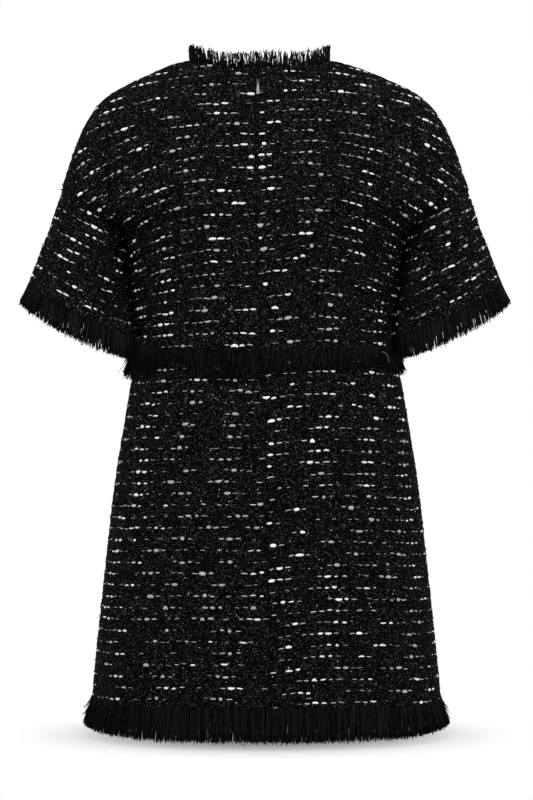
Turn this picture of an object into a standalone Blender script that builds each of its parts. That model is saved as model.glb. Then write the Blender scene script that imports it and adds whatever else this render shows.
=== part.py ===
# Shift dress in boucle tweed, worn and hollow, with fringed neck, cuffs, waist and hem.
# Metres, +Z up. The wearer's back faces -Y. The origin is between the shoulders,
# level with the sides of the neck, where the wearer carries the dress.
import math
from collections import namedtuple

import bmesh
import bpy
from mathutils import Vector

MM = 0.001

# ---- cloth and seams ----
WALL = 2.6 * MM            # thickness of the tweed
SEAM = 0.3 * MM            # parting between two pieces at a seam
EDGE_STRIP = 2.0 * MM      # narrow strip of faces along each sewn edge
NECK_ROUND = 3.0           # how flat the middle of a drooping row is
BACK, FRONT = -1, 1

# ---- mesh fineness ----
COLUMNS = 11               # faces across half of the body, without the strips at its seams
ROW_SAMPLES = 480          # points that a row's curve is measured with
SLEEVE_ROUND = 28          # faces round a sleeve
SLEEVE_LONG = 7            # faces along a sleeve
ARMHOLE_ROWS = 7           # body rows that end on the armhole

# ---- body rows, in millimetres ----
# side, back, front: height at the side, the centre back and the centre front
# half: half width; shift: how far the row's middle stands to +X; seam: place of the back seam
# flank: Y of the side seam; back_deep, front_deep: depths; power: 2 is an ellipse, more is squarer
Row = namedtuple("Row", "side back front half shift seam flank back_deep front_deep power")

SHOULDER_ROWS = [
    Row(1.0, -14, -52, 86.5, -6.5, -6.8, 0, 58.0, 72.0, 2.00),
    Row(-2.5, -21, -58, 105.0, -6.5, -7.2, 0, 62.0, 75.0, 1.80),
    Row(-12.3, -30, -66, 131.4, -3.8, -8.0, 0, 66.5, 78.5, 1.70),
    Row(-22.1, -39, -74, 154.1, -2.9, -8.6, 0, 71.0, 82.0, 1.68),
    Row(-31.9, -48, -82, 174.4, -2.2, -9.2, 0, 75.5, 85.5, 1.72),
    Row(-41.8, -57, -90, 191.0, -1.5, -9.6, 0, 80.0, 89.0, 1.78),
    Row(-51.6, -66, -98, 202.4, -1.3, -9.8, 0, 84.0, 92.5, 1.85),
    Row(-63.0, -76, -106, 211.2, -1.0, -9.8, 0, 88.5, 96.0, 1.92),
    Row(-81.0, -90, -116, 221.7, -0.7, -9.8, 0, 94.0, 100.5, 1.98),
    Row(-103.0, -108, -128, 231.5, -0.5, -9.8, 0, 100.0, 105.0, 2.04),
    Row(-128.0, -130, -143, 240.3, -0.2, -9.8, 0, 106.0, 110.0, 2.08),
    Row(-157.0, -157, -160, 248.5, 0.0, -9.8, 0, 110.5, 114.0, 2.10),
]
FLANK_ROWS = [
    Row(-209.0, -209, -211, 173.0, 0.0, -9.6, 0, 113.0, 118.5, 2.12),
    Row(-224.0, -225, -227, 170.8, 0.0, -9.4, 8, 113.0, 118.5, 2.13),
    Row(-245.0, -247, -248, 169.4, 0.0, -9.0, 14, 112.5, 117.8, 2.14),
    Row(-270.0, -273, -273, 167.7, 0.0, -8.2, 18, 111.8, 116.4, 2.15),
    Row(-297.0, -302, -300, 165.7, 0.0, -6.8, 20, 111.2, 115.0, 2.16),
    Row(-322.0, -331, -327, 163.8, 0.3, -5.2, 20, 111.0, 114.2, 2.17),
    Row(-336.0, -346, -341, 163.0, 0.5, -4.2, 19, 111.4, 114.2, 2.18),
    Row(-346.5, -357, -352, 163.0, 0.6, -3.8, 18, 112.2, 114.8, 2.18),
]
SKIRT_ROWS = [
    Row(-340.5, -351, -346, 159.4, 0.6, -4.0, 18, 108.8, 111.4, 2.18),
    Row(-348.0, -358, -353, 160.0, 0.7, -3.7, 18, 109.3, 111.9, 2.19),
    Row(-366.0, -376, -371, 162.0, 1.0, -3.0, 17, 110.6, 113.0, 2.20),
    Row(-390.0, -399, -394, 165.8, 1.3, -2.2, 16, 112.6, 114.6, 2.21),
    Row(-420.0, -427, -423, 171.0, 1.6, -1.2, 15, 115.4, 116.4, 2.22),
    Row(-455.0, -460, -457, 176.8, 1.6, -0.2, 14, 118.4, 118.0, 2.24),
    Row(-490.0, -494, -492, 182.4, 1.6, 0.6, 13, 120.6, 119.2, 2.26),
    Row(-525.0, -528, -526, 187.4, 1.6, 1.4, 12, 122.2, 120.2, 2.28),
    Row(-565.0, -567, -566, 192.0, 1.6, 2.2, 11, 123.6, 121.4, 2.31),
    Row(-605.0, -606, -605, 196.2, 1.6, 3.0, 10, 124.8, 122.6, 2.34),
    Row(-650.0, -651, -650, 201.0, 1.6, 4.0, 9, 126.0, 124.0, 2.37),
    Row(-695.0, -695, -695, 205.8, 1.6, 5.0, 8, 127.2, 125.4, 2.40),
    Row(-737.0, -737, -737, 210.0, 1.6, 5.6, 7, 128.4, 126.6, 2.43),
    Row(-778.0, -778, -778, 213.6, 1.7, 6.0, 6, 129.4, 127.6, 2.45),
]

# ---- armholes and sleeves, for the side at +X ----
ARMHOLE_CENTRE = Vector((210.75, 0, -183)) * MM
ARMHOLE_TOP = Vector((248.5, 0, -157)) * MM
ARMHOLE_DEEP = 62 * MM     # half the armhole's width from back to front
ARMHOLE_GAP = 0.6 * MM     # the walls lean together here, so they part a little more outside
ARMHOLE_POINT = 1.2        # 1 is an ellipse, more draws its two ends to a point
CUFF_CENTRE = Vector((222.9, -30, -306.0)) * MM
CUFF_TOP = Vector((287.2, -30, -274.0)) * MM
CUFF_BACK = Vector((2.0, -60, -4.5)) * MM  # from the cuff's middle to its lower, back edge
SLEEVE_SWING = 1.9         # more than 1 keeps the sleeve level until it is clear of the body

# ---- fringes ----
STRIP_THICK = 1.8 * MM     # the backing that holds a fringe's roots
STRIP_TALL = 3.0 * MM
LOCK_TIP = 0.45            # a lock's width at its tip, as a share of its root
LOCK_FILL = 0.86           # a lock's root, as a share of its pitch
NECK_LOCKS, CUFF_LOCKS, WAIST_LOCKS, HEM_LOCKS = 38, 24, 60, 76
NECK_LONG, CUFF_LONG, WAIST_LONG, HEM_LONG = 15.5 * MM, 22 * MM, 30 * MM, 35 * MM
CUFF_SWELL = 0.3           # how much longer the cuff's strands are at its front and back
NECK_FLARE = 0.6 * MM
WAIST_INSET = 0.6 * MM     # the waist's backing stands out over the skirt
CUFF_EASE = 0.35 * MM      # the cuff is cut slantwise, so its backing stands off a little more
OPENING = 1.6 * MM         # half the parting of a fringe at the zip

# ---- concealed zip ----
TAPE_WIDE = 11 * MM
TAPE_THICK = 0.9 * MM
TAPE_PARTING = 0.9 * MM    # half the parting of the tapes, where the slider's post passes
SLIDER_ROW = 2             # shoulder row where the back seam parts for the slider
PULL_TOP_Z = -37.0 * MM    # height of the bar that the pull tab swings on
TAPE_SKIRT_ROWS = 7        # skirt rows that the tape runs down past
CAP_WIDE, CAP_THICK, CAP_TALL = 4.4 * MM, 1.2 * MM, 8.5 * MM
POST_WIDE, POST_TALL = 0.9 * MM, 4.0 * MM
INNER_WIDE, INNER_THICK, INNER_TALL = 7.0 * MM, 2.2 * MM, 9.0 * MM
SLIDER_RISE = 2.2 * MM     # the slider's middle above the bar
BAR_RADIUS = 0.4 * MM
BAR_HEIGHT = 1.8 * MM      # the bar's middle over the slider's cap
EAR_INSIDE, EAR_THICK, EAR_ROUND = 0.95 * MM, 0.6 * MM, 0.7 * MM
EYE_RADIUS, EYE_OUTSIDE, EYE_HALF = 0.75 * MM, 1.4 * MM, 0.6 * MM
TAB_LONG, TAB_WIDE, TAB_THICK = 15.5 * MM, 4.6 * MM, 1.0 * MM
TAB_NECK = 0.5             # the tab's width at its eye, as a share of its foot
TAB_LEAN = math.radians(7) # the tab's foot leans to the cloth

CLOTH_BLACK = (0.012, 0.012, 0.014, 1)
FRINGE_BLACK = (0.006, 0.006, 0.007, 1)
ZIP_GREY = (0.42, 0.42, 0.43, 1)


def clear_scene():
    for thing in list(bpy.data.objects):
        bpy.data.objects.remove(thing, do_unlink=True)


def new_collection(name):
    group = bpy.data.collections.new(name)
    bpy.context.scene.collection.children.link(group)
    return group


def material(name, colour, roughness, metallic=0.0):
    made = bpy.data.materials.new(name)
    made.use_nodes = True
    shader = made.node_tree.nodes["Principled BSDF"]
    shader.inputs["Base Color"].default_value = colour
    shader.inputs["Roughness"].default_value = roughness
    shader.inputs["Metallic"].default_value = metallic
    made.diffuse_color = colour
    return made


def mesh_object(name, points, faces, colour):
    mesh = bpy.data.meshes.new(name)
    mesh.from_pydata(points, [], faces)
    mesh.update()
    made = bpy.data.objects.new(name, mesh)
    parts.objects.link(made)
    made.data.materials.append(material(name, colour, 0.9))
    return made


def face_outwards(made):
    work = bmesh.new()
    work.from_mesh(made.data)
    bmesh.ops.recalc_face_normals(work, faces=work.faces)
    work.to_mesh(made.data)
    work.free()


# ---- the form of the body ----
def blend_rows(first, second, share):
    return Row(*(a + (b - a) * share for a, b in zip(first, second)))


def armhole_point(turn, mirror=1):
    # turn 0 is the top of the armhole, pi the underarm; a positive turn runs along the back
    reach = (ARMHOLE_TOP - ARMHOLE_CENTRE) * math.cos(turn)
    bow = math.copysign(abs(math.sin(turn)) ** ARMHOLE_POINT, turn)
    place = ARMHOLE_CENTRE + reach - Vector((0, ARMHOLE_DEEP * bow, 0))
    return Vector((place.x * mirror, place.y, place.z))


def angle_at(row, x):
    # the angle at which a row crosses a given X, in millimetres
    share = min(1.0, max(-1.0, (x - row.shift) / row.half))
    return math.copysign(math.asin(abs(share) ** (row.power / 2)), share)


def bodice_rows(facing):
    # each entry: the row, and how far round it runs, up to a right angle at the side seam
    rows = [(row, math.pi / 2) for row in SHOULDER_ROWS]
    top, bottom = SHOULDER_ROWS[-1], FLANK_ROWS[0]
    for step in range(1, ARMHOLE_ROWS):
        share = step / ARMHOLE_ROWS
        row = blend_rows(top, bottom, share)
        edge = armhole_point(math.pi * share) / MM
        deep = row.back_deep if facing == BACK else row.front_deep
        end = (1 - (abs(edge.y) / deep) ** row.power) ** (1 / row.power)
        row = row._replace(side=edge.z, half=edge.x / end, shift=0.0, flank=0.0)
        rows.append((row, angle_at(row, edge.x)))
    return rows + [(row, math.pi / 2) for row in FLANK_ROWS]


def row_point(row, angle, end, facing):
    # a point of a row, angle 0 at its middle and +-end at its two sides
    across = math.copysign(abs(math.sin(angle)) ** (2 / row.power), angle)
    toward = max(0.0, math.cos(angle)) ** (2 / row.power)
    widest = math.sin(end) ** (2 / row.power)
    middle = row.back if facing == BACK else row.front
    deep = row.back_deep + row.flank if facing == BACK else row.front_deep - row.flank
    lift = min(1.0, abs(across) / widest) ** NECK_ROUND
    return Vector((row.shift + row.half * across,
                   row.flank + facing * deep * toward,
                   middle + (row.side - middle) * lift)) * MM


def lengths_along(line):
    lengths = [0.0]
    for a, b in zip(line, line[1:]):
        lengths.append(lengths[-1] + (b - a).length)
    return lengths


def steps_along(line, goals):
    # for each distance along a line of points: the stretch it falls on, and how far into it
    lengths = lengths_along(line)
    steps, k = [], 0
    for goal in goals:
        while k < len(line) - 2 and lengths[k + 1] < goal:
            k += 1
        steps.append((k, (goal - lengths[k]) / (lengths[k + 1] - lengths[k])))
    return steps


def places_along(line, goals):
    return [line[k].lerp(line[k + 1], part) for k, part in steps_along(line, goals)]


def row_curve(row, end, facing, start, finish, steps=ROW_SAMPLES):
    turn = (finish - start) / steps
    return [row_point(row, start + turn * i, end, facing) for i in range(steps + 1)]


def row_line(curve, columns, gap_start, gap_end):
    # even places along a row, with a narrow strip beside each of its sewn ends
    whole = lengths_along(curve)[-1]
    first = gap_start + EDGE_STRIP
    last = whole - gap_end - EDGE_STRIP
    goals = [first + (last - first) * i / columns for i in range(columns + 1)]
    return places_along(curve, [gap_start] + goals + [whole - gap_end])


def panel_lines(rows, facing, half, slider_row=None):
    # half is -1 for the panel left of the back seam, 1 for the right one, 0 for a whole panel
    lines = []
    for index, (row, end) in enumerate(rows):
        seam = angle_at(row, row.seam)
        parted = slider_row is not None and abs(index - slider_row) <= 1
        middle_gap = TAPE_PARTING if parted else SEAM / 2
        side_gap = SEAM if row.side > ARMHOLE_TOP.z / MM else SEAM / 2
        spans = {-1: (-end, seam, side_gap, middle_gap),
                 1: (seam, end, middle_gap, side_gap),
                 0: (-end, end, side_gap, side_gap)}
        start, finish, gap_start, gap_end = spans[half]
        curve = row_curve(row, end, facing, start, finish)
        lines.append(row_line(curve, COLUMNS * 2 if half == 0 else COLUMNS, gap_start, gap_end))
    return lines


# ---- cloth walls ----
def grid_faces(rows, columns, closed=False):
    faces = []
    wrap = columns if closed else columns - 1
    for r in range(rows - 1):
        for c in range(wrap):
            a, b = r * columns + c, r * columns + (c + 1) % columns
            faces.append((a, b, b + columns, a + columns))
    return faces


def cloth_wall(name, lines, outward, closed=False, thick=WALL, colour=CLOTH_BLACK):
    # an open sheet through the lines, thickened inwards; outward is a point's outer side
    points = [p for line in lines for p in line]
    faces = grid_faces(len(lines), len(lines[0]), closed)
    middle = faces[(len(lines) // 2) * (len(faces) // (len(lines) - 1)) + len(lines[0]) // 2]
    a, b, c = (points[i] for i in middle[:3])
    if (b - a).cross(c - b).dot(outward(a)) < 0:
        faces = [face[::-1] for face in faces]
    made = mesh_object(name, points, faces, colour)
    thicken = made.modifiers.new("wall", "SOLIDIFY")
    thicken.thickness = thick
    thicken.offset = -1
    made.data.shade_smooth()
    return made


def body_outward(point):
    return Vector((point.x, point.y, 0))


def make_bodice():
    back = bodice_rows(BACK)
    front = bodice_rows(FRONT)
    cloth_wall("bodice_back_left", panel_lines(back, BACK, -1, SLIDER_ROW), body_outward)
    cloth_wall("bodice_back_right", panel_lines(back, BACK, 1, SLIDER_ROW), body_outward)
    cloth_wall("bodice_front", panel_lines(front, FRONT, 0), body_outward)


def make_skirt():
    rows = [(row, math.pi / 2) for row in SKIRT_ROWS]
    cloth_wall("skirt_back_left", panel_lines(rows, BACK, -1), body_outward)
    cloth_wall("skirt_back_right", panel_lines(rows, BACK, 1), body_outward)
    cloth_wall("skirt_front", panel_lines(rows, FRONT, 0), body_outward)


# ---- sleeves ----
def cuff_point(turn, mirror=1):
    reach = (CUFF_TOP - CUFF_CENTRE) * math.cos(turn)
    place = CUFF_CENTRE + reach + CUFF_BACK * math.sin(turn)
    return Vector((place.x * mirror, place.y, place.z))


def sleeve_point(turn, along, mirror):
    swing = Vector((0, CUFF_CENTRE.y * (along ** SLEEVE_SWING - along), 0))
    return armhole_point(turn, mirror).lerp(cuff_point(turn, mirror), along) + swing


def sleeve_lines(mirror):
    lines = []
    for ring in range(SLEEVE_LONG + 1):
        along = ring / SLEEVE_LONG
        line = []
        for step in range(SLEEVE_ROUND):
            turn = 2 * math.pi * step / SLEEVE_ROUND
            if turn > math.pi:
                turn -= 2 * math.pi
            place = sleeve_point(turn, along, mirror)
            if ring == 0:
                place += (sleeve_point(turn, 0.1, mirror) - place).normalized() * ARMHOLE_GAP
            line.append(place)
        lines.append(line)
    return lines


def make_sleeves():
    for name, mirror in (("sleeve_left", -1), ("sleeve_right", 1)):
        axis_top = Vector((ARMHOLE_CENTRE.x * mirror, 0, ARMHOLE_CENTRE.z))
        axis_end = Vector((CUFF_CENTRE.x * mirror, CUFF_CENTRE.y, CUFF_CENTRE.z))
        run = (axis_end - axis_top).normalized()

        def outward(point, start=axis_top, run=run):
            return point - start - run * (point - start).dot(run)
        cloth_wall(name, sleeve_lines(mirror), outward, closed=True)


# ---- fringes ----
# a root is (place, out, hang): a point in the middle of the cloth's edge, the direction away
# from the body, and the direction that the strands leave the cloth in
def fringe(name, roots, closed, flare, long):
    # a comb: a narrow backing strip, and one four-sided lock out of each of its stretches
    points, faces = [], []

    def corner(root, deep, side):
        place, out, hang = root
        points.append(place + out * (side * STRIP_THICK / 2) + hang * deep)
        return len(points) - 1

    def ring(root):
        near, far = SEAM, SEAM + STRIP_TALL
        return [corner(root, near, -1), corner(root, near, 1),
                corner(root, far, 1), corner(root, far, -1)]
    rings = [ring(root) for root in roots]
    stretches = len(rings) if closed else len(rings) - 1
    for i in range(stretches):
        a, b = rings[i], rings[(i + 1) % len(rings)]
        for side in range(4):
            nxt = (side + 1) % 4
            if side == 2 and i % 2 == 0:
                continue
            faces.append((a[side], a[nxt], b[nxt], b[side]))
        if i % 2 == 0:
            first, second = roots[i], roots[(i + 1) % len(roots)]
            middle = (points[a[2]] + points[b[2]] + points[b[3]] + points[a[3]]) / 4
            out = (first[1] + second[1]).normalized()
            hang = (first[2] + second[2]).normalized()
            along = (second[0] - first[0]).normalized()
            wave = math.sin(i * 2.4) * 0.5 + math.sin(i * 0.9 + 1) * 0.5
            length = long(middle) * (1 + 0.06 * wave)
            lean = flare(middle)
            tip = middle + hang * length + out * lean + along * (wave * 0.8 * MM)
            base = (a[2], b[2], b[3], a[3])
            start = len(points)
            for index in base:
                points.append(tip + (points[index] - middle) * LOCK_TIP)
            for side in range(4):
                nxt = (side + 1) % 4
                faces.append((base[side], base[nxt], start + nxt, start + side))
            faces.append((start, start + 1, start + 2, start + 3))
    if not closed:
        faces.append(tuple(rings[0]))
        faces.append(tuple(reversed(rings[-1])))
    made = mesh_object(name, points, faces, FRINGE_BLACK)
    face_outwards(made)
    return made


def comb_shares(locks, closed):
    # where along an edge each stretch of backing starts: a lock, then a gap, and so on
    shares = []
    for lock in range(locks):
        shares += [lock / locks, (lock + LOCK_FILL) / locks]
    return shares if closed else shares[:-1] + [1.0]


def edge_frames(line, closed):
    # the level direction away from the body at each point of a line round it
    outs = []
    count = len(line)
    for i, place in enumerate(line):
        ahead = line[(i + 1) % count] if closed or i < count - 1 else place
        behind = line[i - 1] if closed or i else place
        along = ahead - behind
        out = Vector((along.y, -along.x, 0)).normalized()
        outs.append(out if out.dot(Vector((place.x, place.y, 0))) > 0 else -out)
    return outs


def loop_roots(row, inset, hang, opening, locks):
    # roots round a whole row of the body, from the back seam round to the back seam
    seam, quarter = angle_at(row, row.seam), math.pi / 2
    line = row_curve(row, quarter, BACK, seam, quarter)[:-1]
    line += row_curve(row, quarter, FRONT, quarter, -quarter)[:-1]
    line += row_curve(row, quarter, BACK, -quarter, seam)
    line = [place - out * inset for place, out in zip(line, edge_frames(line, False))]
    whole = lengths_along(line)[-1] - 2 * opening
    shares = comb_shares(locks, not opening)
    line = places_along(line, [opening + whole * share for share in shares])
    return [(place, out, hang) for place, out in zip(line, edge_frames(line, not opening))]


def even(amount):
    return lambda place: amount


def cuff_long(place):
    return CUFF_LONG * (1 + CUFF_SWELL * min(1.0, abs(place.y - CUFF_CENTRE.y) / abs(CUFF_BACK.y)))


def waist_flare(place):
    # the sleeve's inner edge presses the fringe flat behind each flank
    if abs(place.x) > 100 * MM and -75 * MM < place.y < -2 * MM:
        return 4.2 * MM
    return (5.0 + 7.0 * (abs(place.x) / (162 * MM)) ** 8) * MM


def hem_flare(place):
    return (4.5 + 3.0 * (abs(place.x) / (212 * MM)) ** 6) * MM


def cuff_flare(place):
    # the strands lean out at the sleeve's outer side and away from the body at its inner side
    return (-6.0 + 8.0 * (abs(place.x) - 158 * MM) / (130 * MM)) * MM


def make_body_fringes():
    up, down = Vector((0, 0, 1)), Vector((0, 0, -1))
    neck = loop_roots(SHOULDER_ROWS[0], WALL / 2, up, OPENING, NECK_LOCKS)
    fringe("neck_fringe", neck, False, even(NECK_FLARE), even(NECK_LONG))
    waist = loop_roots(FLANK_ROWS[-1], WAIST_INSET, down, OPENING, WAIST_LOCKS)
    fringe("waist_fringe", waist, False, waist_flare, even(WAIST_LONG))
    hem = loop_roots(SKIRT_ROWS[-1], WALL / 2, down, 0.0, HEM_LOCKS)
    fringe("hem_fringe", hem, True, hem_flare, even(HEM_LONG))


def make_cuff_fringes():
    for name, mirror in (("cuff_fringe_left", -1), ("cuff_fringe_right", 1)):
        before, edge = (line + line[:1] for line in sleeve_lines(mirror)[-2:])
        centre = Vector((CUFF_CENTRE.x * mirror, CUFF_CENTRE.y, CUFF_CENTRE.z))
        whole = lengths_along(edge)[-1]
        steps = steps_along(edge, [whole * share for share in comb_shares(CUFF_LOCKS, True)])
        places = [edge[k].lerp(edge[k + 1], part) for k, part in steps]
        befores = [before[k].lerp(before[k + 1], part) for k, part in steps]
        roots = []
        for i, place in enumerate(places):
            leave = (place - befores[i]).normalized()
            out = (places[(i + 1) % len(places)] - places[i - 1]).cross(leave).normalized()
            if out.dot(place - centre) < 0:
                out = -out
            roots.append((place - out * (WALL / 2) + leave * CUFF_EASE, out, leave))
        fringe(name, roots, True, cuff_flare, cuff_long)


# ---- zip ----
def back_seam_frame(z):
    # the back seam's point at a height, with the cloth's outward and upward directions there
    upper, lower = next((a, b) for a, b in zip(SHOULDER_ROWS, SHOULDER_ROWS[1:])
                        if a.back * MM >= z >= b.back * MM)
    top, bottom = (row_point(row, angle_at(row, row.seam), math.pi / 2, BACK)
                   for row in (upper, lower))
    rise = (top - bottom).normalized()
    return bottom.lerp(top, (z - bottom.z) / (top.z - bottom.z)), level_out(rise), rise


def level_out(rise):
    return Vector((0, -rise.z, rise.y)).normalized()


def tape_lines(side):
    # the tape lies behind the back panel's own points, moved in past the wall
    rows = bodice_rows(BACK)[1:-2] + [(row, math.pi / 2) for row in SKIRT_ROWS[:TAPE_SKIRT_ROWS]]
    edges = []
    for row, end in rows:
        places = [row.seam + side * (TAPE_PARTING + TAPE_WIDE * part / 2) / MM for part in range(3)]
        edges.append([row_point(row, angle_at(row, x), end, BACK) for x in places])
    lines = []
    for index, line in enumerate(edges):
        above, below = edges[max(0, index - 1)], edges[min(len(edges) - 1, index + 1)]
        out = level_out((above[0] - below[0]).normalized())
        lines.append([place - out * (WALL + SEAM) for place in line])
    return lines


def make_tapes():
    for name, side in (("zip_tape_left", -1), ("zip_tape_right", 1)):
        lines = tape_lines(side)
        cloth_wall(name, lines, body_outward, thick=TAPE_THICK, colour=FRINGE_BLACK)


def block(name, centre, size, bevel=0.0):
    bpy.ops.mesh.primitive_cube_add(size=1, location=centre)
    made = bpy.context.object
    made.name = name
    made.scale = size
    bpy.ops.object.transform_apply(location=False, rotation=False, scale=True)
    if bevel:
        rounding = made.modifiers.new("rounding", "BEVEL")
        rounding.width = bevel
        rounding.segments = 2
    return move_to(made, parts)


def round_bar(name, radius, long, centre, sides=12):
    bpy.ops.mesh.primitive_cylinder_add(vertices=sides, radius=radius, depth=long, location=centre,
                                        rotation=(0, math.pi / 2, 0))
    made = bpy.context.object
    made.name = name
    return move_to(made, parts)


def move_to(made, group):
    for old in list(made.users_collection):
        old.objects.unlink(made)
    group.objects.link(made)
    return made


def boolean(target, other, operation):
    cut = target.modifiers.new(operation.lower(), "BOOLEAN")
    cut.operation = operation
    cut.object = other
    move_to(other, cutters)
    other.hide_render = True
    other.display_type = "WIRE"


def make_zip_hardware():
    # both pieces are modelled upright, in a frame that lies on the cloth: X across the seam,
    # Y into the cloth from its outer face, Z up the seam, with the bar at the origin
    place, out, rise = back_seam_frame(PULL_TOP_Z)
    slope = math.atan2(rise.y, rise.z)
    frame = bpy.data.objects.new("zip_frame", None)
    parts.objects.link(frame)
    frame.location = place + out * (SEAM + CAP_THICK + BAR_HEIGHT)
    frame.rotation_euler = (-slope, 0, 0)

    cap_face = BAR_HEIGHT
    cap_back = cap_face + CAP_THICK
    inner_face = cap_back + SEAM + WALL + SEAM + TAPE_THICK + SEAM
    slider = block("zip_slider", (0, (cap_face + cap_back) / 2, SLIDER_RISE),
                   (CAP_WIDE, CAP_THICK, CAP_TALL), 0.4 * MM)
    post = block("slider_post", (0, (cap_face + inner_face) / 2 + 0.5 * MM, SLIDER_RISE),
                 (POST_WIDE, inner_face - cap_face, POST_TALL))
    inner = block("slider_inner", (0, inner_face + INNER_THICK / 2, SLIDER_RISE),
                  (INNER_WIDE, INNER_THICK, INNER_TALL))
    bar = round_bar("slider_bar", BAR_RADIUS, 2 * (EAR_INSIDE + EAR_THICK / 2), (0, 0, 0))
    boolean(slider, post, "UNION")
    boolean(slider, inner, "UNION")
    for side in (-1, 1):
        ear = block("slider_ear", (side * (EAR_INSIDE + EAR_THICK / 2), (cap_face - EAR_ROUND) / 2
                                   + 0.2 * MM, 0),
                    (EAR_THICK, cap_face + EAR_ROUND, 2 * EAR_ROUND))
        boolean(slider, ear, "UNION")
        ear.parent = frame
    boolean(slider, bar, "UNION")
    slider.data.materials.append(material("zip_slider", ZIP_GREY, 0.35, 1.0))

    tab = block("zip_pull_tab", (0, 0, -(EYE_OUTSIDE + TAB_LONG) / 2 + EYE_OUTSIDE * 0.25),
                (TAB_WIDE, TAB_THICK, TAB_LONG - EYE_OUTSIDE * 0.5))
    for vertex in tab.data.vertices:
        if vertex.co.z > 0:
            vertex.co.x *= TAB_NECK
    corners = tab.modifiers.new("corners", "BEVEL")
    corners.width = 0.35 * MM
    corners.segments = 2
    eye = round_bar("tab_eye", EYE_OUTSIDE, 2 * EYE_HALF, (0, 0, 0), 16)
    hole = round_bar("tab_hole", EYE_RADIUS, 8 * EYE_HALF, (0, 0, 0), 16)
    boolean(tab, eye, "UNION")
    boolean(tab, hole, "DIFFERENCE")
    tab.data.materials.append(material("zip_pull_tab", ZIP_GREY, 0.35, 1.0))
    hinge = bpy.data.objects.new("tab_hinge", None)
    parts.objects.link(hinge)
    hinge.parent = frame
    hinge.rotation_euler = (TAB_LEAN, 0, 0)
    for piece, holder in ((slider, frame), (post, frame), (inner, frame), (bar, frame),
                          (tab, hinge), (eye, hinge), (hole, hinge)):
        piece.parent = holder


parts = cutters = None


def main():
    global parts, cutters
    clear_scene()
    parts = new_collection("shift_dress")
    cutters = new_collection("cutters")
    make_bodice()
    make_skirt()
    make_sleeves()
    make_body_fringes()
    make_cuff_fringes()
    make_tapes()
    make_zip_hardware()


main()
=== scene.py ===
import math
from collections import namedtuple

import bpy
import numpy as np
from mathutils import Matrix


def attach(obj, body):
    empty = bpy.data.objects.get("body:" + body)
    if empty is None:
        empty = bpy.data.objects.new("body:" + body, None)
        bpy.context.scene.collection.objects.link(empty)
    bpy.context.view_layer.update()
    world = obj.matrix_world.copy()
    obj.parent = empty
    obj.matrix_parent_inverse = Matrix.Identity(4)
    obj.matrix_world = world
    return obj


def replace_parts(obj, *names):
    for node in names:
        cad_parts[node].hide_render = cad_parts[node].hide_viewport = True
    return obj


# Slub tweed shift dress, seen from the wearer's back. Metres, +Z up, the back faces -Y.
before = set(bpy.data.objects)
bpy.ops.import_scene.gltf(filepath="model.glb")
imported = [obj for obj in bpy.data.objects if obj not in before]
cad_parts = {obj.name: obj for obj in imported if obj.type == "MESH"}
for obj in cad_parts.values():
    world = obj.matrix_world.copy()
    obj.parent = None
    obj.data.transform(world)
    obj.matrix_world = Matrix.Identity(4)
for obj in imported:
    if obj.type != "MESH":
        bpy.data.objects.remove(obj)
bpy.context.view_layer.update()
mm = 0.001
back, front = -1, 1
dressBody = "dress"
tabBody = "pull_tab"

# The dress's cut: body rows from neck to hem, in millimetres
# side, back, front: height at the side, the centre back and the centre front
# half: half width; shift: the row's middle; seam: place of the back seam; flank: Y of the side seam
# backDeep, frontDeep: depths; power: 2 is an ellipse, more is squarer
Row = namedtuple("Row", "side back front half shift seam flank backDeep frontDeep power")
shoulderRows = [
    Row(1.0, -14, -52, 86.5, -6.5, -6.8, 0, 58.0, 72.0, 2.00),
    Row(-2.5, -21, -58, 105.0, -6.5, -7.2, 0, 62.0, 75.0, 1.80),
    Row(-12.3, -30, -66, 131.4, -3.8, -8.0, 0, 66.5, 78.5, 1.70),
    Row(-22.1, -39, -74, 154.1, -2.9, -8.6, 0, 71.0, 82.0, 1.68),
    Row(-31.9, -48, -82, 174.4, -2.2, -9.2, 0, 75.5, 85.5, 1.72),
    Row(-41.8, -57, -90, 191.0, -1.5, -9.6, 0, 80.0, 89.0, 1.78),
    Row(-51.6, -66, -98, 202.4, -1.3, -9.8, 0, 84.0, 92.5, 1.85),
    Row(-63.0, -76, -106, 211.2, -1.0, -9.8, 0, 88.5, 96.0, 1.92),
    Row(-81.0, -90, -116, 221.7, -0.7, -9.8, 0, 94.0, 100.5, 1.98),
    Row(-103.0, -108, -128, 231.5, -0.5, -9.8, 0, 100.0, 105.0, 2.04),
    Row(-128.0, -130, -143, 240.3, -0.2, -9.8, 0, 106.0, 110.0, 2.08),
    Row(-157.0, -157, -160, 248.5, 0.0, -9.8, 0, 110.5, 114.0, 2.10),
]
flankRows = [
    Row(-209.0, -209, -211, 173.0, 0.0, -9.6, 0, 113.0, 118.5, 2.12),
    Row(-224.0, -225, -227, 170.8, 0.0, -9.4, 8, 113.0, 118.5, 2.13),
    Row(-245.0, -247, -248, 169.4, 0.0, -9.0, 14, 112.5, 117.8, 2.14),
    Row(-270.0, -273, -273, 167.7, 0.0, -8.2, 18, 111.8, 116.4, 2.15),
    Row(-297.0, -302, -300, 165.7, 0.0, -6.8, 20, 111.2, 115.0, 2.16),
    Row(-322.0, -331, -327, 163.8, 0.3, -5.2, 20, 111.0, 114.2, 2.17),
    Row(-336.0, -346, -341, 163.0, 0.5, -4.2, 19, 111.4, 114.2, 2.18),
    Row(-346.5, -357, -352, 163.0, 0.6, -3.8, 18, 112.2, 114.8, 2.18),
]
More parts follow.
